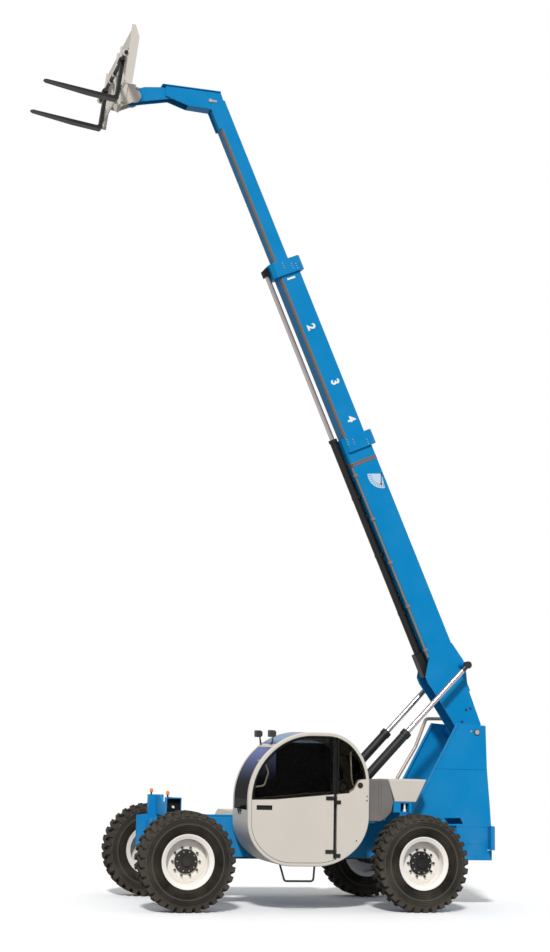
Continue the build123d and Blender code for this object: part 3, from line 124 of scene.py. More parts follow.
fade.inputs["From Min"].default_value, fade.inputs["From Max"].default_value = FLOOR_FADE
glow = node_of(tree, "ShaderNodeEmission")
glare = node_of(tree, "ShaderNodeMapRange")
glare.inputs["To Min"].default_value = FLOOR_BOUNCE[0]
tree.links.new(shown.outputs[0], glare.inputs["Value"])
tree.links.new(glare.outputs["Result"], glow.inputs["Strength"])
mixed = node_of(tree, "ShaderNodeMixShader")
tree.links.new(place.outputs["Object"], distance.inputs[0])
tree.links.new(distance.outputs["Value"], fade.inputs["Value"])
tree.links.new(fade.outputs["Result"], mixed.inputs["Fac"])
tree.links.new(tree.nodes["Principled BSDF"].outputs["BSDF"], mixed.inputs[1])
tree.links.new(glow.outputs["Emission"], mixed.inputs[2])
tree.links.new(mixed.outputs["Shader"], tree.nodes["Material Output"].inputs["Surface"])
floor_mesh.materials.append(floor_finish)

# ================================================================ frame
# The chassis is two side plates with cross members, brackets for the engine side and a lift foot.
# It is welded plate in gloss blue, a little dusty low down.
BLUE = (0.0, 0.222, 0.515)


def effect_group(name, inputs, outputs):
    """An empty shader group with named sockets, and its two end nodes."""
    group = bpy.data.node_groups.new(name, "ShaderNodeTree")
    for label, kind, value in inputs:
        group.interface.new_socket(label, in_out="INPUT", socket_type=kind).default_value = value
    for label, kind in outputs:
        group.interface.new_socket(label, in_out="OUTPUT", socket_type=kind)
    return group, group.nodes.new("NodeGroupInput"), group.nodes.new("NodeGroupOutput")


def weather_group():
    """Dust that gathers low down and in soft clouds, with a slight unevenness of colour and gloss."""
    group, given, made = effect_group(
        "weather",
        [("Color", "NodeSocketColor", (0.5, 0.5, 0.5, 1)), ("Dust", "NodeSocketColor", (0.45, 0.4, 0.33, 1)),
         ("Amount", "NodeSocketFloat", 0.3), ("Top", "NodeSocketFloat", 1.6),
         ("Roughness", "NodeSocketFloat", 0.4), ("Grain", "NodeSocketFloat", 180.0),
         ("Relief", "NodeSocketFloat", 0.05)],
        [("Color", "NodeSocketColor"), ("Roughness", "NodeSocketFloat"), ("Normal", "NodeSocketVector")])
    link = group.links.new
    where = node_of(group, "ShaderNodeTexCoord")
    clouds = node_of(group, "ShaderNodeTexNoise")
    clouds.inputs["Scale"].default_value = 2.3
    clouds.inputs["Detail"].default_value = 6
    link(where.outputs["Object"], clouds.inputs["Vector"])
    apart = node_of(group, "ShaderNodeSeparateXYZ")
    link(where.outputs["Object"], apart.inputs[0])
    low = node_of(group, "ShaderNodeMapRange", interpolation_type="SMOOTHSTEP")
    low.inputs["To Min"].default_value, low.inputs["To Max"].default_value = 1.0, 0.12
    link(apart.outputs["Z"], low.inputs["Value"])
    link(given.outputs["Top"], low.inputs["From Max"])
    patches = node_of(group, "ShaderNodeMapRange")
    patches.inputs["From Min"].default_value, patches.inputs["From Max"].default_value = 0.35, 0.7
    link(clouds.outputs["Fac"], patches.inputs["Value"])
    dusty = node_of(group, "ShaderNodeMath", operation="MULTIPLY")
    link(low.outputs["Result"], dusty.inputs[0])
    link(patches.outputs["Result"], dusty.inputs[1])
    share = node_of(group, "ShaderNodeMath", operation="MULTIPLY")
    link(dusty.outputs[0], share.inputs[0])
    link(given.outputs["Amount"], share.inputs[1])
    uneven = node_of(group, "ShaderNodeHueSaturation")
    tone = node_of(group, "ShaderNodeMapRange")
    tone.inputs["To Min"].default_value, tone.inputs["To Max"].default_value = 0.93, 1.07
    link(clouds.outputs["Fac"], tone.inputs["Value"])
    link(tone.outputs["Result"], uneven.inputs["Value"])
    link(given.outputs["Color"], uneven.inputs["Color"])
    mix = node_of(group, "ShaderNodeMix", data_type="RGBA")
    link(share.outputs[0], mix.inputs["Factor"])
    link(uneven.outputs["Color"], mix.inputs["A"])
    link(given.outputs["Dust"], mix.inputs["B"])
    link(mix.outputs["Result"], made.inputs["Color"])
    dull = node_of(group, "ShaderNodeMath", operation="MULTIPLY_ADD")
    dull.inputs[1].default_value = 0.45
    link(share.outputs[0], dull.inputs[0])
    link(given.outputs["Roughness"], dull.inputs[2])
    link(dull.outputs[0], made.inputs["Roughness"])
    grain = node_of(group, "ShaderNodeTexNoise")
    link(where.outputs["Object"], grain.inputs["Vector"])
    link(given.outputs["Grain"], grain.inputs["Scale"])
    bump = node_of(group, "ShaderNodeBump")
    bump.inputs["Distance"].default_value = 0.002
    link(given.outputs["Relief"], bump.inputs["Strength"])
    link(grain.outputs["Fac"], bump.inputs["Height"])
    link(bump.outputs["Normal"], made.inputs["Normal"])
    return group


weather = weather_group()


def finish(name, color, roughness=0.4, amount=0.3, top=1.6, grain=180.0, relief=0.05, dust=(0.4, 0.35, 0.28),
           metallic=0.0, coat=0.0, specular=0.5):
    """A weathered surface: its own colour under the shared dust and grain."""
    material = bpy.data.materials.new(name)
    material.use_nodes = True
    tree = material.node_tree
    shader = tree.nodes["Principled BSDF"]
    shader.inputs["Metallic"].default_value = metallic
    shader.inputs["Coat Weight"].default_value = coat
    shader.inputs["Coat Roughness"].default_value = 0.12
    shader.inputs["Specular IOR Level"].default_value = specular
    worn = node_of(tree, "ShaderNodeGroup", node_tree=weather, name="worn")
    worn.inputs["Color"].default_value = (*color, 1)
    worn.inputs["Dust"].default_value = (*dust, 1)
    for label, value in (("Amount", amount), ("Top", top), ("Roughness", roughness), ("Grain", grain),
                         ("Relief", relief)):
        worn.inputs[label].default_value = value
    tree.links.new(worn.outputs["Color"], shader.inputs["Base Color"])
    tree.links.new(worn.outputs["Roughness"], shader.inputs["Roughness"])
    tree.links.new(worn.outputs["Normal"], shader.inputs["Normal"])
    return material


def dress(material, *names):
    """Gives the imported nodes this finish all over."""
    for name in names:
        mesh = nodes[name].data
        mesh.materials.clear()
        mesh.materials.append(material)


blue_paint = finish("blue_paint", BLUE, roughness=0.42, amount=0.2, specular=0.1)
dress(blue_paint, "frame_rails", "cross_members", "side_brackets", "lift_foot", "engine_pod")

# ================================================================ rear tower
# Two cheek plates carry the boom's pivot, and a block with tow ears closes the frame behind them.
# Black hex bolts stand on the boom's heel, and zinc plated ones hold the block.
HEEL_BOLTS = [(-2.728, 2.737), (-2.794, 2.759), (-2.662, 2.564)]
HEEL_BOLT_Y = 0.176
PIVOT_PIN = (-2.75, 2.415)
GREASE_CAP = (-2.66, 2.425)
BLOCK_BOLTS_Y = (-0.5, -0.42, 0.42, 0.5)
BLOCK_BOLTS_Z = (0.84, 1.04)
BLOCK_BOLTS_X = -3.006
CHEEK_Y = 0.4795                   # where pins and caps stand on the cheek plates
PIN_END_Y = 0.490
CHEEK_SEAM = (1.886, 1.893)        # a welded joint across the cheek plates
SEAM_BEHIND_X = -1.9
SEAM_OUTSIDE_Y = 0.478
dress(blue_paint, "rear_tower", "counterweight")
zinc = finish("zinc", (0.5, 0.48, 0.45), roughness=0.4, amount=0.2, metallic=0.7)
black_bolt = finish("black_bolt", (0.02, 0.02, 0.022), roughness=0.5, amount=0.3)


def calc(tree, operation, *values):
    """One math node fed by numbers and sockets; its result."""
    node = node_of(tree, "ShaderNodeMath", operation=operation)
    for socket, value in zip(node.inputs, values):
        if isinstance(value, (int, float)):
            socket.default_value = value
        else:
            tree.links.new(value, socket)
    return node.outputs[0]


def place_of(tree):
    """A point's X, Y and Z on the machine."""
    place = node_of(tree, "ShaderNodeTexCoord")
    apart = node_of(tree, "ShaderNodeSeparateXYZ")
    tree.links.new(place.outputs["Object"], apart.inputs[0])
    return apart.outputs["X"], apart.outputs["Y"], apart.outputs["Z"]


def within(tree, value, low, high):
    """1 where the value lies between the two."""
    return calc(tree, "COMPARE", value, (low + high) / 2, (high - low) / 2)


def both(tree, *shares):
    """1 where every share is 1."""
    result = shares[0]
    for share in shares[1:]:
        result = calc(tree, "MULTIPLY", result, share)
    return result


def recolour(material, share, color, roughness=None, metallic=None):
    """Where the share is 1, the surface under the dust is of another colour and gloss."""
    tree = material.node_tree
    worn = tree.nodes["worn"]
    changes = [("RGBA", worn.inputs["Color"], (*color, 1)), ("FLOAT", worn.inputs["Roughness"], roughness),
               ("FLOAT", tree.nodes["Principled BSDF"].inputs["Metallic"], metallic)]
    for kind, socket, value in changes:
        if value is None:
            continue
        mix = node_of(tree, "ShaderNodeMix", data_type=kind)
        tree.links.new(share, mix.inputs["Factor"])
        if socket.is_linked:
            tree.links.new(socket.links[0].from_socket, mix.inputs["A"])
        else:
            mix.inputs["A"].default_value = socket.default_value
        mix.inputs["B"].default_value = value
        tree.links.new(mix.outputs["Result"], socket)


tree = blue_paint.node_tree
x, y, z = place_of(tree)
on_cheek = both(tree, calc(tree, "GREATER_THAN", calc(tree, "ABSOLUTE", y), SEAM_OUTSIDE_Y),
                calc(tree, "LESS_THAN", x, SEAM_BEHIND_X))
recolour(blue_paint, both(tree, on_cheek, within(tree, z, *CHEEK_SEAM)), (0.0, 0.10, 0.26), roughness=0.5)


def node_chain(tree, *chain):
    """Links the first output of each node to the first input of the next."""
    for before, after in zip(chain, chain[1:]):
        tree.links.new(before.outputs[0], after.inputs[0])


def shape_tree(name, inputs):
    """An empty tree that turns a given mesh into a shape with a finish; its input and output nodes."""
    tree = bpy.data.node_groups.new(name, "GeometryNodeTree")
    tree.interface.new_socket("Given", in_out="INPUT", socket_type="NodeSocketGeometry")
    for label, kind in inputs:
        tree.interface.new_socket(label, in_out="INPUT", socket_type=kind)
    tree.interface.new_socket("Finish", in_out="INPUT", socket_type="NodeSocketMaterial")
    tree.interface.new_socket("Made", in_out="OUTPUT", socket_type="NodeSocketGeometry")
    return tree, tree.nodes.new("NodeGroupInput"), tree.nodes.new("NodeGroupOutput")


def fastener_tree():
    """A short prism stood on every given point: a bolt head or a stud."""
    tree, given, made = shape_tree("fasteners", [
        ("Radius", "NodeSocketFloat"), ("Height", "NodeSocketFloat"), ("Sides", "NodeSocketInt"),
        ("Turn", "NodeSocketVector")])
    head = node_of(tree, "GeometryNodeMeshCylinder")
    stand = node_of(tree, "GeometryNodeInstanceOnPoints")
    real = node_of(tree, "GeometryNodeRealizeInstances")
    coat = node_of(tree, "GeometryNodeSetMaterial")
    for label, socket in (("Radius", head.inputs["Radius"]), ("Height", head.inputs["Depth"]),
                          ("Sides", head.inputs["Vertices"]), ("Turn", stand.inputs["Rotation"]),
                          ("Given", stand.inputs["Points"]), ("Finish", coat.inputs["Material"])):
        tree.links.new(given.outputs[label], socket)
    tree.links.new(head.outputs["Mesh"], stand.inputs["Instance"])
    node_chain(tree, stand, real, coat, made)
    return tree


def grown(tree, given_mesh, **inputs):
    """The plain mesh that a shape tree makes of the given mesh and sizes."""
    source = bpy.data.objects.new("source", given_mesh)
    bpy.context.scene.collection.objects.link(source)
    modifier = source.modifiers.new("shape", "NODES")
    modifier.node_group = tree
    for item in tree.interface.items_tree:
        if item.in_out == "INPUT" and item.name in inputs:
            modifier[item.identifier] = inputs[item.name]
    made = bpy.data.meshes.new_from_object(source.evaluated_get(bpy.context.evaluated_depsgraph_get()))
    bpy.data.objects.remove(source)
    shell = bmesh.new()
    shell.from_mesh(made)
    bmesh.ops.recalc_face_normals(shell, faces=shell.faces)
    shell.to_mesh(made)
    shell.free()
    return made


def piece(name, mesh, body, slot, *materials):
    """A finished piece in the scene, riding on its body."""
    mesh.name = name
    for material in materials:
        mesh.materials.append(material)
    made = bpy.data.objects.new(name, mesh)
    bpy.context.scene.collection.objects.link(made)
    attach(made, body)
    return made


fasteners = fastener_tree()
AXIS_TURNS = {"x": (0, radians(90), 0), "y": (radians(90), 0, 0)}


def bolts(name, places, radius, height, material, body, axis="y", sides=6):
    """Bolt heads at the places, lined up with an axis."""
    spots = bpy.data.meshes.new(name)
    spots.from_pydata(places, [], [])
    heads = grown(fasteners, spots, Radius=radius, Height=height, Sides=sides,
                  Turn=AXIS_TURNS[axis], Finish=material)
    return piece(name, heads, body, "black_steel")


bolts("heel_bolts", [(x, lr * HEEL_BOLT_Y, z) for x, z in HEEL_BOLTS for lr in (1, -1)],
      radius=0.016, height=0.016, material=black_bolt, body="outer_boom")
bolts("block_bolts", [(BLOCK_BOLTS_X, y, z) for y in BLOCK_BOLTS_Y for z in BLOCK_BOLTS_Z],
      radius=0.018, height=0.016, material=zinc, body="chassis", axis="x")


def rod(shape, start, end, radius, sides):
    """Adds a closed round bar between two points."""
    run = Vector(end) - Vector(start)
    turned = run.to_track_quat("Z", "Y").to_matrix().to_4x4()
    placed = Matrix.Translation((Vector(start) + Vector(end)) / 2) @ turned
    bmesh.ops.create_cone(shape, cap_ends=True, segments=sides, radius1=radius, radius2=radius,
                          depth=run.length, matrix=placed)


def block(shape, low, high, bevel=0.0):
    """Adds a box between two corners, with its edges broken where a bevel is given."""
    middle = (Vector(low) + Vector(high)) / 2
    sizes = [max(b - a, 1e-4) for a, b in zip(low, high)]
    box = bmesh.new()
    bmesh.ops.create_cube(box, matrix=Matrix.Translation(middle) @ Matrix.Diagonal((*sizes, 1)))
    if bevel:
        bmesh.ops.bevel(box, geom=box.edges[:], offset=bevel, segments=2, affect="EDGES", profile=0.5)
    # a bevel's points and faces come in another order each run, so they are added in a fixed one
    points = sorted(box.verts, key=lambda point: tuple(point.co))
    rank = {point: i for i, point in enumerate(points)}
    rings = [[rank[point] for point in face.verts] for face in box.faces]
    starts = [ring.index(min(ring)) for ring in rings]
    added = [shape.verts.new(point.co) for point in points]
    for ring in sorted(ring[start:] + ring[:start] for ring, start in zip(rings, starts)):
        shape.faces.new([added[i] for i in ring])
    box.free()


def mesh_of(shape, smooth=False):
    """Ends a shape as a mesh."""
    made = bpy.data.meshes.new("shape")
    shape.to_mesh(made)
    shape.free()
    if smooth:
        made.shade_smooth()
    return made


pins = bmesh.new()
caps = bmesh.new()
#              shape, its place, near face, far face, radius, sides
TURNED_BITS = [(pins, PIVOT_PIN, CHEEK_Y, PIN_END_Y, 0.044, 24),
               (caps, PIVOT_PIN, PIN_END_Y - 0.0005, 0.498, 0.034, 20),
               (caps, GREASE_CAP, CHEEK_Y, 0.487, 0.013, 16)]
for lr in (1, -1):
    for shape, (x, z), near, far, radius, sides in TURNED_BITS:
        rod(shape, (x, lr * near, z), (x, lr * far, z), radius, sides)
piece("pivot_pin_ends", mesh_of(pins), "chassis", "black_steel", black_bolt)
piece("pivot_caps", mesh_of(caps), "chassis", "black_steel", zinc)

# ================================================================ front yoke and lamps
# The cross plate over the front axle carries a box at each end, and an amber marker lamp on each box.
# The boxes are blue outside, with painted shade near-black inside them, and a small white lamp in the left
# one; another hangs from the bracket behind the cab.
LENS_FOOT = 1.462
YOKE_LAMP_AT = (1.687, 0.53, 1.305)
BOX_INSIDE_PAINTED_SHADE = ((1.5915, 1.7785), (0.479, 0.549), (1.1815, 1.4185))
YOKE_LAMP_DEEP = 0.052
BRACKET_LAMP_AT = (-1.522, 0.80)
BRACKET_LAMP_Z = (1.422, 1.338, 1.305)   # the stem's top, where the lens starts, and its lower end
yoke_paint = finish("yoke_paint", BLUE, roughness=0.42, amount=0.2, specular=0.1)
dress(yoke_paint, "front_yoke")
tree = yoke_paint.node_tree
x, y, z = place_of(tree)
# painted shade: the inside of each open box is painted near-black where its recess lies in shade
painted_shade_in_box = both(tree, *[within(tree, part, *span) for part, span in
                          zip((x, calc(tree, "ABSOLUTE", y), z), BOX_INSIDE_PAINTED_SHADE)])
recolour(yoke_paint, painted_shade_in_box, (0.006, 0.008, 0.012), roughness=0.8)

amber_lens = finish("amber_lens", (0.9, 0.19, 0.01), roughness=0.22, amount=0.0, coat=0.3)
dress(amber_lens, "marker_lamps")
tree = amber_lens.node_tree
lamp_foot = calc(tree, "LESS_THAN", place_of(tree)[2], LENS_FOOT)
recolour(amber_lens, lamp_foot, (0.01, 0.01, 0.012), roughness=0.6)

white_lens = finish("white_lens", (0.85, 0.85, 0.85), roughness=0.25, amount=0.05, coat=0.3)
lamp = bmesh.new()
rod(lamp, Vector(YOKE_LAMP_AT) - Vector((0, YOKE_LAMP_DEEP, 0)), YOKE_LAMP_AT, radius=0.016, sides=20)
piece("yoke_lamp", mesh_of(lamp), "chassis", "amber_lens", white_lens)
lamp = bmesh.new()
for top, low, radius in zip(BRACKET_LAMP_Z, BRACKET_LAMP_Z[1:], (0.014, 0.022)):
    rod(lamp, (*BRACKET_LAMP_AT, top), (*BRACKET_LAMP_AT, low), radius, sides=16)
piece("bracket_lamp", mesh_of(lamp), "chassis", "amber_lens", white_lens)

# ================================================================ running gear
# Both axles are cast housings with steering knuckles on kingpins; shafts join them to the gearbox.
# Everything is painted black and carries road dust.
black_steel = finish("black_steel", (0.008, 0.008, 0.009), roughness=0.45, amount=0.2, relief=0.2,
                     specular=0.3)
dress(black_steel, "front_axle", "rear_axle", "driveline", "cab_step",
      *[name for name in nodes if name.startswith("knuckle")])

# ================================================================ wheels
# Bias-ply lugged tyres on welded steel rims, with a black planetary hub in the middle.
# Ten wheel nuts hold the disc; the sidewalls have moulded rings and hold brown dust.
AXLE_X = 1.64
AXLE_Z = 0.6425
DISC_FACE_Y = 1.0835
NUT_MIDDLE_Y = DISC_FACE_Y + 0.012
NUT_CIRCLE_R = 0.183
NUTS = 10
HUB_SHOWN_R = 0.156
HUB_SCREW_R = 0.125
HUB_FACE_Y = 1.1205
SIDEWALL = (0.36, 0.585)
SIDEWALL_RING = 0.023
SIDEWALL_SHADES = [((0.36, 0.47), (0.014, 0.013, 0.010)), ((0.47, 0.49), (0.07, 0.063, 0.053)),
                   ((0.49, 0.555), (0.028, 0.026, 0.022)), ((0.555, 0.572), (0.075, 0.067, 0.055))]
CORNERS = [("front_left", 1, 1), ("front_right", 1, -1), ("rear_left", -1, 1), ("rear_right", -1, -1)]


def span_of(tree, across, up):
    """How far a point is from an axis, from its distances across and up."""
    return calc(tree, "SQRT", calc(tree, "ADD", calc(tree, "MULTIPLY", across, across),
                                   calc(tree, "MULTIPLY", up, up)))


def wheel_radius(tree):
    """How far a point is from its own wheel's axis."""
    x, _, z = place_of(tree)
    return span_of(tree, calc(tree, "SUBTRACT", calc(tree, "ABSOLUTE", x), AXLE_X),
                   calc(tree, "SUBTRACT", z, AXLE_Z))


tyre_rubber = finish("tyre_rubber", (0.05, 0.043, 0.036), roughness=0.9, amount=0.5, top=1.9, grain=60,
                     relief=0.5, dust=(0.13, 0.11, 0.088), specular=0.1)
dress(tyre_rubber, *[name for name in nodes if name.startswith("tyre")])
tree = tyre_rubber.node_tree
radius = wheel_radius(tree)
for ring_span, color in SIDEWALL_SHADES:
    recolour(tyre_rubber, within(tree, radius, *ring_span), color)
wave = calc(tree, "SINE", calc(tree, "MULTIPLY", radius, 2 * pi / SIDEWALL_RING))
ring = calc(tree, "MULTIPLY", wave, within(tree, radius, *SIDEWALL))
ridges = node_of(tree, "ShaderNodeBump")
ridges.inputs["Strength"].default_value = 0.7
ridges.inputs["Distance"].default_value = 0.004
tree.links.new(ring, ridges.inputs["Height"])
tree.links.new(tree.nodes["worn"].outputs["Normal"], ridges.inputs["Normal"])
tree.links.new(ridges.outputs["Normal"], tree.nodes["Principled BSDF"].inputs["Normal"])

wheel_paint = finish("wheel_paint", (0.84, 0.8, 0.75), roughness=0.45, amount=0.12, specular=0.25)
dress(wheel_paint, *[name for name in nodes if name.startswith("rim")])
tree = wheel_paint.node_tree
hub = calc(tree, "LESS_THAN", wheel_radius(tree), HUB_SHOWN_R)
recolour(wheel_paint, hub, (0.006, 0.006, 0.006), roughness=0.6)


def wheel_circle(front, left, radius, out):
    """Ten even places round a wheel's axis, that far out from the machine's middle."""
    return [(front * AXLE_X + radius * cos(2 * pi * i / NUTS), left * out,
             AXLE_Z + radius * sin(2 * pi * i / NUTS)) for i in range(NUTS)]


for corner, front, left in CORNERS:
    bolts("wheel_nuts_" + corner, wheel_circle(front, left, NUT_CIRCLE_R, NUT_MIDDLE_Y),
          radius=0.0165, height=0.032, material=black_bolt, body="wheel_" + corner)
    bolts("hub_screws_" + corner, wheel_circle(front, left, HUB_SCREW_R, HUB_FACE_Y),
          radius=0.008, height=0.008, material=zinc, body="wheel_" + corner, sides=8)

# ================================================================ engine side
# The engine lies across from the cab in a pod of bent sheet, under a hinged hood with cooling slots.
# The hood is the cab's warm grey; the exhaust is aluminised pipe, browned by heat.
GREY = (0.6, 0.56, 0.5)
grey_paint = finish("grey_paint", GREY, roughness=0.4, amount=0.15, specular=0.15)
dress(grey_paint, "engine_hood")
cast_iron = finish("cast_iron", (0.05, 0.05, 0.052), roughness=0.6, amount=0.3, relief=0.3)
dress(cast_iron, "engine_block")
exhaust_steel = finish("exhaust_steel", (0.5, 0.42, 0.37), roughness=0.48, amount=0.3, metallic=0.55)
dress(exhaust_steel, "exhaust")

# ================================================================ tank and cover
# The tank behind the cab is dark moulded plastic on a shelf, with two upright grooves in its outer side.
# The cover beside it is plain sheet in the cab's warm grey.
tank_plastic = finish("tank_plastic", (0.14, 0.13, 0.128), roughness=0.5, amount=0.35, top=2.2, relief=0.3)
dress(tank_plastic, "fuel_tank")
dress(grey_paint, "side_cover")

# ================================================================ cab
# A hollow pressed-steel cab, rounded in side view, with a door on two hinges and a fixed panel behind it.
# Warm grey outside and lined in dark plastic; the posts, hinges, handle and latch are black.
CAB_MIDDLE = (0.0, 0.855, 1.45)
SKIN_Y = 1.2106                    # what stands proud of the side panels is black
HANDLE = (0.516, 0.732, 1.317, 1.378)
LATCH_AT = (-0.715, 1.66)
LATCH_R = 0.038
LATCH_FACES_Y = (1.2098, 1.217, 1.221)   # the panel, the latch plate and its button
RIM_SCREW_Y = 1.2115
B_POST = (-0.396, -0.337, 0.70, 2.28)
RIM_MARKS = [(-0.814, 1.517), (-0.812, 1.461), (-0.668, 0.935)]
LINING = (0.13, 0.118, 0.096)
LINED_Y = 1.1715                   # what lies inside the panels' skin is lined
POST_FACE_Y = 1.1
TRIM_BLACK = (0.012, 0.012, 0.013)
BELT_KNEE = (0.483, 1.452)         # the windows' lower edge bends here; its slopes ahead and behind
BELT_SLOPES = (0.0257, 0.096)
BELT_CURVE = (-0.565, 1.742)       # behind this the edge rises in a curve to this height
shell_paint = finish("shell_paint", GREY, roughness=0.4, amount=0.12, specular=0.15)
dress(shell_paint, "cab_shell")
tree = shell_paint.node_tree
place = node_of(tree, "ShaderNodeTexCoord")
out_from_middle = node_of(tree, "ShaderNodeVectorMath", operation="SUBTRACT")
out_from_middle.inputs[1].default_value = CAB_MIDDLE
tree.links.new(place.outputs["Object"], out_from_middle.inputs[0])
facing = node_of(tree, "ShaderNodeVectorMath", operation="DOT_PRODUCT")
tree.links.new(place.outputs["Normal"], facing.inputs[0])
tree.links.new(out_from_middle.outputs["Vector"], facing.inputs[1])
x, y, z = place_of(tree)
recolour(shell_paint, calc(tree, "LESS_THAN", facing.outputs["Value"], 0.0), LINING, roughness=0.7)
recolour(shell_paint, both(tree, within(tree, x, *B_POST[:2]), within(tree, z, *B_POST[2:]),
                           calc(tree, "GREATER_THAN", y, POST_FACE_Y)), TRIM_BLACK, roughness=0.5)

panel_paint = finish("panel_paint", GREY, roughness=0.4, amount=0.12, specular=0.15)
dress(panel_paint, "cab_door", "cab_quarter")
tree = panel_paint.node_tree
x, y, z = place_of(tree)
recolour(panel_paint, calc(tree, "LESS_THAN", y, LINED_Y), LINING, roughness=0.7)
recolour(panel_paint, calc(tree, "GREATER_THAN", y, SKIN_Y), TRIM_BLACK, roughness=0.45)
handle = both(tree, within(tree, x, *HANDLE[:2]), within(tree, z, *HANDLE[2:]))
recolour(panel_paint, handle, TRIM_BLACK, roughness=0.45)
behind_knee = calc(tree, "SUBTRACT", BELT_KNEE[0], x)
belt = calc(tree, "MAXIMUM", calc(tree, "MULTIPLY_ADD", behind_knee, BELT_SLOPES[0], BELT_KNEE[1]),
            calc(tree, "MULTIPLY_ADD", behind_knee, BELT_SLOPES[1], BELT_KNEE[1]))
above_belt = calc(tree, "GREATER_THAN", z, calc(tree, "ADD", belt, 0.002))
ahead_of_curve = calc(tree, "GREATER_THAN", x, BELT_CURVE[0])
over_curve = calc(tree, "GREATER_THAN", z, BELT_CURVE[1])
window_edge = both(tree, above_belt, calc(tree, "MAXIMUM", ahead_of_curve, over_curve))
recolour(panel_paint, window_edge, TRIM_BLACK, roughness=0.45)

latch = bmesh.new()
for near, far, radius, sides in zip(LATCH_FACES_Y, LATCH_FACES_Y[1:], (LATCH_R, 0.012), (24, 20)):
    rod(latch, (LATCH_AT[0], near, LATCH_AT[1]), (LATCH_AT[0], far, LATCH_AT[1]), radius, sides)
piece("latch", mesh_of(latch), "chassis", "black_steel", black_steel)
bolts("rim_screws", [(x, RIM_SCREW_Y, z) for x, z in RIM_MARKS],
      radius=0.009, height=0.006, material=black_bolt, body="chassis", sides=10)

# ================================================================ cab glass
# Tinted safety glass, bonded flat in the door and bent over the nose and the roof.
# The windscreen's top is tinted blue, a sun band that is also a painted reflection of the sky; the roof pane
# is paler, and the quarter pane is clearer.
SUN_BAND_AND_PAINTED_REFLECTION = (1.62, 2.2)
ROOF_GLASS_Z = 2.2
SIDE_GLASS_Y = 1.15
WINDSCREEN_X = 0.25
SIDE_TINT = (0.66, 0.62, 0.54)
GLASS_IOR = 1.06                   # thin bonded panes, which hardly bend what shows through them


def tinted(name, color, transmission):
    """Dark glass that lets a share of the light through."""
    material = bpy.data.materials.new(name)
    material.use_nodes = True
    shader = material.node_tree.nodes["Principled BSDF"]
    shader.inputs["Base Color"].default_value = (*color, 1)
    shader.inputs["Roughness"].default_value = 0.03
    shader.inputs["Transmission Weight"].default_value = transmission
    shader.inputs["IOR"].default_value = GLASS_IOR
    return material


side_glass = tinted("side_glass", SIDE_TINT, 1.0)
dress(side_glass, "door_glass")
front_glass = tinted("front_glass", (0.02, 0.022, 0.026), 0.4)
dress(front_glass, "cab_glass")
tree = front_glass.node_tree
x, y, z = place_of(tree)
# the windscreen's blue top is a sun band tint and a painted reflection of the sky together
sun_band_and_painted_reflection = node_of(tree, "ShaderNodeMapRange", interpolation_type="SMOOTHSTEP")
sun_band_and_painted_reflection.inputs["From Min"].default_value, sun_band_and_painted_reflection.inputs["From Max"].default_value = SUN_BAND_AND_PAINTED_REFLECTION
tree.links.new(z, sun_band_and_painted_reflection.inputs["Value"])
ahead = calc(tree, "MULTIPLY", sun_band_and_painted_reflection.outputs["Result"], calc(tree, "GREATER_THAN", x, WINDSCREEN_X))
roof = both(tree, calc(tree, "GREATER_THAN", z, ROOF_GLASS_Z), calc(tree, "LESS_THAN", y, SIDE_GLASS_Y))
side = calc(tree, "GREATER_THAN", y, SIDE_GLASS_Y)
shades = [(ahead, (0.21, 0.27, 0.56)), (roof, (0.3, 0.45, 0.68)), (side, SIDE_TINT)]
last = (0.012, 0.013, 0.015, 1)
for share, color in shades:
    mix = node_of(tree, "ShaderNodeMix", data_type="RGBA")
    tree.links.new(share, mix.inputs["Factor"])
    if isinstance(last, tuple):
        mix.inputs["A"].default_value = last
    else:
        tree.links.new(last, mix.inputs["A"])
    mix.inputs["B"].default_value = (*color, 1)
    last = mix.outputs["Result"]
pane = tree.nodes["Principled BSDF"]
tree.links.new(last, pane.inputs["Base Color"])
tree.links.new(calc(tree, "MULTIPLY_ADD", side, 0.6, 0.4), pane.inputs["Transmission Weight"])

# ================================================================ seat and controls
# A suspension seat on a black pedestal: moulded foam cushions in dark cloth, and a headrest on two posts.
# In front of it stands a console with the steering wheel.
SEAT_Y = 0.85
#           middle x, z    half length, width, thickness   lean
CUSHIONS = [(-0.262, 0.902, 0.215, 0.240, 0.056, 4), (-0.492, 1.190, 0.300, 0.225, 0.055, 102),
            (-0.577, 1.590, 0.072, 0.130, 0.042, 97)]
CUSHION_ROUND = 5
CROWN_LOW, CROWN_RISE = 0.78, 0.22
SIDE_ROLL, ROLL_AT, ROLL_WIDTH = 0.16, 0.72, 0.25
BELLOWS = 4
#            back, front, half width, low, high, bevel
SEAT_FOOT = (-0.37, -0.12, 0.15, 0.668, 0.77, 0.01)
SEAT_PAN = (-0.40, -0.10, 0.19, 0.838, 0.862, 0.008)
seat_cloth = finish("seat_cloth", (0.12, 0.108, 0.092), roughness=0.9, amount=0.1, grain=700, relief=0.5,
                    specular=0.2)
cushions = bmesh.new()
for middle_x, middle_z, length, width, thick, lean in CUSHIONS:
    cushion = bmesh.new()
    bmesh.ops.create_cube(cushion, size=2)
    bmesh.ops.subdivide_edges(cushion, edges=cushion.edges[:], cuts=11, use_grid_fill=True)
    for point in cushion.verts:
        size = sum(abs(part) ** CUSHION_ROUND for part in point.co) ** (1 / CUSHION_ROUND)
        u, v, w = point.co / size
        roll = SIDE_ROLL * max(0.0, 1 - abs(abs(v) - ROLL_AT) / ROLL_WIDTH)
        crown = CROWN_LOW + CROWN_RISE * cos(u * pi / 2) + roll
        point.co = (u * length, v * width, w * thick * crown)
    laid = Matrix.Translation((middle_x, SEAT_Y, middle_z)) @ Matrix.Rotation(radians(-lean), 4, "Y")
    bmesh.ops.transform(cushion, matrix=laid, verts=cushion.verts)
    one = mesh_of(cushion)
    cushions.from_mesh(one)
    bpy.data.meshes.remove(one)
cushion_piece = piece("seat_cushions", mesh_of(cushions, smooth=True), "chassis", "dark_plastic", seat_cloth)
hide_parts("seat")

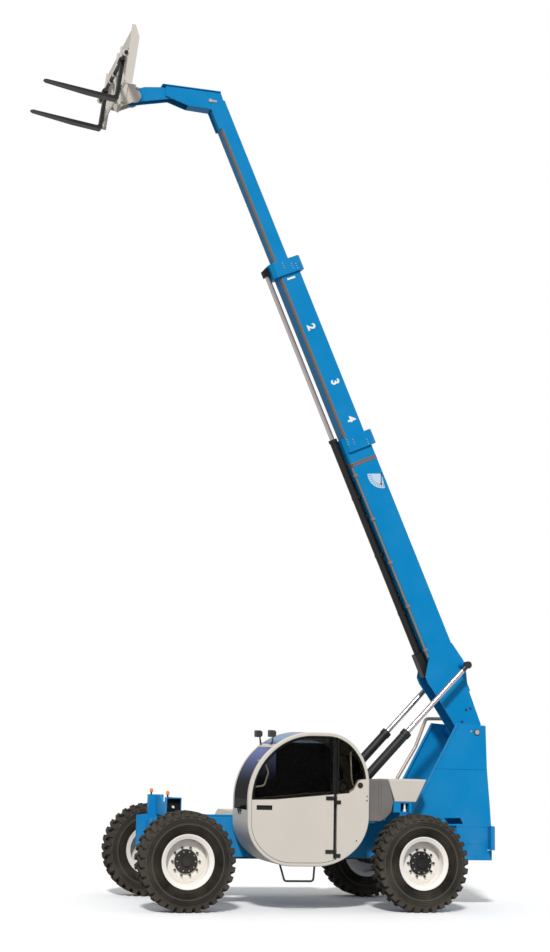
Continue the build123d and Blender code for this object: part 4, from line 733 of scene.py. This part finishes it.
dark_plastic = finish("dark_plastic", (0.022, 0.022, 0.024), roughness=0.5, amount=0.1, relief=0.3)
dress(dark_plastic, "cab_controls", "roof_lamps")
base = bmesh.new()
folds = []
for fold in range(BELLOWS):
    low = 0.768 + 0.018 * fold
    folds += [(-0.36, -0.13, 0.14, low, low + 0.014, 0.006),
              (-0.34, -0.15, 0.12, low + 0.012, low + 0.020, 0.0)]
for back, front, half, low, high, bevel in (SEAT_FOOT, *folds, SEAT_PAN):
    block(base, (back, SEAT_Y - half, low), (front, SEAT_Y + half, high), bevel)
for y in (-0.07, 0.07):
    rod(base, (-0.548, SEAT_Y + y, 1.46), (-0.572, SEAT_Y + y, 1.56), radius=0.008, sides=12)
seat_base = piece("seat_base", mesh_of(base), "chassis", "dark_plastic", dark_plastic)
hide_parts("seat")

# ================================================================ grab rails and small cab fittings
# Bent steel bars inside the door opening and the quarter window, coated grey, end in the posts.
# A black clip holds the lower edge of the windscreen.
RAIL_R = 0.0115
RAIL_BEND = 0.05
RAIL_Y = 1.10
FOOT_Y = 1.152
FRONT_RAIL = [(0.705, FOOT_Y, 1.955), (0.60, RAIL_Y, 1.945), (0.545, RAIL_Y, 1.80), (0.60, RAIL_Y, 1.63),
              (0.812, FOOT_Y, 1.60)]
REAR_RAIL = [(-0.70, FOOT_Y, 2.125), (-0.61, RAIL_Y, 2.10), (-0.63, RAIL_Y, 1.75), (-0.66, RAIL_Y, 1.64),
             (-0.805, FOOT_Y, 1.62)]
NOSE_X = 0.844                     # just inside the shell's front, where the clip is let in
CLIP_BAR = ((NOSE_X, 0.734, 1.288), (0.857, 0.911, 1.314))
CLIP_LEGS_Y = (0.776, 0.856)
CLIP_LEG_HALF = 0.016


def bar_tree():
    """A round bar that follows the given line of points, with rounded bends and closed ends."""
    tree, given, made = shape_tree("bent_bar", [
        ("Bar Radius", "NodeSocketFloat"), ("Bend Radius", "NodeSocketFloat"), ("Sides", "NodeSocketInt")])
    line = node_of(tree, "GeometryNodeMeshToCurve")
    bend = node_of(tree, "GeometryNodeFilletCurve", mode="POLY")
    bend.inputs["Count"].default_value = 6
    ring = node_of(tree, "GeometryNodeCurvePrimitiveCircle")
    sweep = node_of(tree, "GeometryNodeCurveToMesh")
    sweep.inputs["Fill Caps"].default_value = True
    real = node_of(tree, "GeometryNodeRealizeInstances")
    coat = node_of(tree, "GeometryNodeSetMaterial")
    for label, socket in (("Given", line.inputs[0]), ("Bend Radius", bend.inputs["Radius"]),
                          ("Sides", ring.inputs["Resolution"]), ("Bar Radius", ring.inputs["Radius"]),
                          ("Finish", coat.inputs["Material"])):
        tree.links.new(given.outputs[label], socket)
    tree.links.new(ring.outputs["Curve"], sweep.inputs["Profile Curve"])
    node_chain(tree, line, bend, sweep, real, coat, made)
    return tree


bent_bar = bar_tree()


def bar(name, points, material, body, slot):
    """A bent round bar along the points."""
    line = bpy.data.meshes.new(name)
    line.from_pydata(points, [(i, i + 1) for i in range(len(points) - 1)], [])
    shape = grown(bent_bar, line, **{"Bar Radius": RAIL_R, "Bend Radius": RAIL_BEND, "Sides": 14,
                                     "Finish": material})
    shape.shade_smooth()
    return piece(name, shape, body, slot)


rail_grey = finish("rail_grey", (0.42, 0.41, 0.39), roughness=0.35, amount=0.05)
bar("front_grab_rail", FRONT_RAIL, rail_grey, "chassis", "grey_paint")
bar("rear_grab_rail", REAR_RAIL, rail_grey, "chassis", "grey_paint")
clip = bmesh.new()
block(clip, *CLIP_BAR, bevel=0.003)
for y in CLIP_LEGS_Y:
    block(clip, (NOSE_X, y - CLIP_LEG_HALF, 1.246), (0.854, y + CLIP_LEG_HALF, 1.290))
piece("screen_clip", mesh_of(clip), "chassis", "black_steel", black_steel)

# ================================================================ boom
# Three box sections, each sliding on wear pads in the collar of the one below.
# Blue all over, with brown wear tracks where the pads run and a brown clamp band on the outer one.
PIVOT = (-2.75, 2.42)
BOOM_ANGLE = radians(66)
OUTER_HALF, MID_HALF, FLY_HALF = 0.17, 0.135, 0.10
MID_BOTTOM, FLY_BOTTOM = -0.065, -0.045
COLLAR_SIDE = 0.03                 # how far a collar stands out at each side
COLLAR_LEAN = 3                    # a collar's bolt rows step back by a third of their height
COLLAR_BOLT_GAP = 0.036
BAND = (4.158, 4.212)
BAND_BROWN = (0.2, 0.15, 0.135)
TRACK = 0.034                      # how wide the wear tracks are
WEAR = (0.2, 0.155, 0.12)
ROD_LUG_TOP = -0.157               # the lug that takes the telescopic rod is black


def on_boom(along, y, up):
    """The place that far along the raised boom, to the left of its middle, and above its pivot line."""
    return Vector((PIVOT[0] + along * cos(BOOM_ANGLE) - up * sin(BOOM_ANGLE), y,
                   PIVOT[1] + along * sin(BOOM_ANGLE) + up * cos(BOOM_ANGLE)))


def boom_place(tree):
    """How far a point is along the boom, from its middle, and above its pivot line."""
    x, y, z = place_of(tree)
    ahead = calc(tree, "SUBTRACT", x, PIVOT[0])
    above = calc(tree, "SUBTRACT", z, PIVOT[1])
    along = calc(tree, "ADD", calc(tree, "MULTIPLY", ahead, cos(BOOM_ANGLE)),
                 calc(tree, "MULTIPLY", above, sin(BOOM_ANGLE)))
    up = calc(tree, "SUBTRACT", calc(tree, "MULTIPLY", above, cos(BOOM_ANGLE)),
              calc(tree, "MULTIPLY", ahead, sin(BOOM_ANGLE)))
    return along, calc(tree, "ABSOLUTE", y), up


for section, half, bottom, stretch in (("mid_boom", MID_HALF, MID_BOTTOM, (2.7, 7.12)),
                                       ("fly_boom", FLY_HALF, FLY_BOTTOM, (5.2, 9.5))):
    paint = finish(section + "_paint", BLUE, roughness=0.42, amount=0.15, specular=0.1)
    dress(paint, section)
    tree = paint.node_tree
    along, aside, up = boom_place(tree)
    track = both(tree, calc(tree, "LESS_THAN", up, bottom + TRACK),
                 calc(tree, "GREATER_THAN", aside, half - TRACK),
                 calc(tree, "LESS_THAN", aside, half + 0.002), within(tree, along, *stretch))
    recolour(paint, track, WEAR, roughness=0.6)
    if section == "mid_boom":
        recolour(paint, calc(tree, "LESS_THAN", up, ROD_LUG_TOP), (0.008, 0.008, 0.009), roughness=0.5)

outer_paint = finish("outer_boom_paint", BLUE, roughness=0.42, amount=0.15, specular=0.1)
dress(outer_paint, "outer_boom")
tree = outer_paint.node_tree
recolour(outer_paint, within(tree, boom_place(tree)[0], *BAND), BAND_BROWN, roughness=0.6)

#                name                 body    collar's middle  half width  rows above the pivot line
COLLAR_BOLTS = [("outer_collar_bolts", "outer_boom", 4.50, OUTER_HALF, (-0.07, 0.02, 0.225)),
                ("mid_collar_bolts", "mid_boom", 7.29, MID_HALF, (0.04, 0.17, 0.235))]
for name, body, along, half, rows in COLLAR_BOLTS:
    out = half + COLLAR_SIDE + 0.002
    spots = [tuple(on_boom(along - up / COLLAR_LEAN + step * COLLAR_BOLT_GAP, lr * out, up))
             for up in rows for step in (-1, 0, 1) for lr in (1, -1)]
    bolts(name, spots, radius=0.0085, height=0.010, material=zinc, body=body)

# ================================================================ boom markings
# Painted reach marks 1 to 4 run down the middle section, and a boom angle dial sits on the outer one.
# The dial is a thin fan-shaped plate with ticks. Its pointer is fixed, and hangs plumb at rest only.
MARKS = [("1", 7.07, 0.09), ("2", 6.292, 0.098), ("3", 5.413, 0.126), ("4", 4.822, 0.144)]
MARK_HEIGHT = 0.12
MARK_BOLD = 0.006
DIAL_AT = (3.92, 0.25)
DIAL_R = 0.215
DIAL_STEPS = 20
DIAL_FACES_Y = (OUTER_HALF - 0.0005, OUTER_HALF + 0.003)
TICK_SPAN = (0.15, 0.2)
TICKS_PER_RADIAN = 18 / pi
TICK_SHARE = 0.22
POINTER_L = 0.15
DIAL_SPAN = (radians(-71), radians(-173))
white_mark = finish("white_mark", (0.85, 0.85, 0.86), roughness=0.45, amount=0.1)
for figure, along, up in MARKS:
    letters = bpy.data.curves.new("mark_" + figure, "FONT")
    letters.body = figure
    letters.size = MARK_HEIGHT / 0.7
    letters.extrude = 0.0012
    letters.offset = MARK_BOLD
    letters.align_x = "CENTER"
    letters.align_y = "CENTER"
    flat = bpy.data.objects.new("mark", letters)
    bpy.context.scene.collection.objects.link(flat)
    shape = bpy.data.meshes.new_from_object(flat.evaluated_get(bpy.context.evaluated_depsgraph_get()))
    bpy.data.objects.remove(flat)
    down = on_boom(-1, 0, 0) - on_boom(0, 0, 0)
    over = on_boom(0, 0, 1) - on_boom(0, 0, 0)
    turned = Matrix((down, over, Vector((0, 1, 0)))).transposed().to_4x4()
    shape.transform(Matrix.Translation(on_boom(along, MID_HALF + 0.0008, up)) @ turned)
    whole = bmesh.new()
    whole.from_mesh(shape)
    bmesh.ops.remove_doubles(whole, verts=whole.verts, dist=1e-5)
    whole.to_mesh(shape)
    whole.free()
    shape.materials.clear()
    piece("mark_" + figure, shape, "mid_boom", "blue_paint", white_mark)

dial_paint = finish("dial_paint", (0.5, 0.64, 0.8), roughness=0.45, amount=0.1)
tree = dial_paint.node_tree
along, _, up = boom_place(tree)
run = calc(tree, "SUBTRACT", along, DIAL_AT[0])
rise = calc(tree, "SUBTRACT", up, DIAL_AT[1])
angle = calc(tree, "ARCTAN2", rise, run)
step = calc(tree, "FRACT", calc(tree, "MULTIPLY", angle, TICKS_PER_RADIAN))
tick = both(tree, calc(tree, "LESS_THAN", step, TICK_SHARE),
            within(tree, span_of(tree, run, rise), *TICK_SPAN))
recolour(dial_paint, tick, (0.02, 0.06, 0.16))
dial = bmesh.new()
turns = [DIAL_SPAN[0] + (DIAL_SPAN[1] - DIAL_SPAN[0]) * i / DIAL_STEPS for i in range(DIAL_STEPS + 1)]
fan = [DIAL_AT] + [(DIAL_AT[0] + DIAL_R * cos(a), DIAL_AT[1] + DIAL_R * sin(a)) for a in turns]
under, over = [[dial.verts.new(on_boom(a, y, t)) for a, t in fan] for y in DIAL_FACES_Y]
dial.faces.new(under)
dial.faces.new(over)
for i in range(len(fan)):
    j = (i + 1) % len(fan)
    dial.faces.new((under[i], under[j], over[j], over[i]))
bmesh.ops.recalc_face_normals(dial, faces=dial.faces)
piece("angle_dial", mesh_of(dial), "outer_boom", "blue_paint", dial_paint)
pin = on_boom(DIAL_AT[0], OUTER_HALF, DIAL_AT[1])
pointer = bmesh.new()
tip = pin - Vector((0, 0, POINTER_L))
rod(pointer, pin, pin + Vector((0, 0.016, 0)), radius=0.009, sides=14)
block(pointer, tip + Vector((-0.005, 0.008, 0)), pin + Vector((0.005, 0.013, 0)), bevel=0.001)
rod(pointer, tip + Vector((0, 0.007, 0)), tip + Vector((0, 0.014, 0)), radius=0.012, sides=14)
piece("dial_pointer", mesh_of(pointer), "outer_boom", "black_steel", black_steel)

# ================================================================ cylinders and hard lines
# Black barrels with screwed glands, and chromed rods whose end eyes are black.
# Two hard lines run along the outer section in clamps, grey with dust.
LIFT_EYE = on_boom(0.904, 0, 0.298)
TILT_EYE = (2.4856, 0, 11.5799)
ROD_EYES = [("lift_rod", LIFT_EYE, 0.12), ("tilt_rod", TILT_EYE, 0.055)]   # and how far out each is black
CHROME = (0.46, 0.41, 0.41)
barrel_black = finish("barrel_black", (0.009, 0.009, 0.009), roughness=0.5, amount=0.1, specular=0.3)
dress(barrel_black, "tele_barrel", "lift_barrel", "tilt_barrel")
line_steel = finish("line_steel", (0.2, 0.175, 0.15), roughness=0.6, amount=0.2)
dress(line_steel, "boom_lines")
chrome_rod = finish("chrome_rod", CHROME, roughness=0.26, amount=0.0, relief=0.0, metallic=0.9)
dress(chrome_rod, "tele_rod")
for name, eye, reach in ROD_EYES:
    chrome = finish(name + "_chrome", CHROME, roughness=0.26, amount=0.0, relief=0.0, metallic=0.9)
    dress(chrome, name)
    tree = chrome.node_tree
    x, _, z = place_of(tree)
    span = span_of(tree, calc(tree, "SUBTRACT", x, eye[0]), calc(tree, "SUBTRACT", z, eye[2]))
    recolour(chrome, calc(tree, "LESS_THAN", span, reach), TRIM_BLACK, roughness=0.4, metallic=0.0)

# ================================================================ carriage and forks
# The gooseneck's tip holds a grey coupler and carriage, which carries two black forks on a shaft.
# Zinc caps and keepers close the ends of the pin at the tilt cylinder's foot.
dress(grey_paint, "coupler", "carriage")
dress(black_steel, "fork_shaft", "fork_left", "fork_right")
NECK_PIN = (1.33, 11.5)
NECK_SIDE_Y = 0.0995
KEEPER_Y = 0.107
NECK_CAP_Y = 0.114
KEEPER_HALF = 0.014
caps = bmesh.new()
x, z = NECK_PIN
for lr in (1, -1):
    rod(caps, (x, lr * NECK_SIDE_Y, z), (x, lr * NECK_CAP_Y, z), radius=0.027, sides=24)
    near, far = sorted((lr * NECK_SIDE_Y, lr * KEEPER_Y))
    block(caps, (x - 0.10, near, z - KEEPER_HALF), (x - 0.02, far, z + KEEPER_HALF))
piece("neck_pin_caps", mesh_of(caps), "fly_boom", "black_steel", zinc)
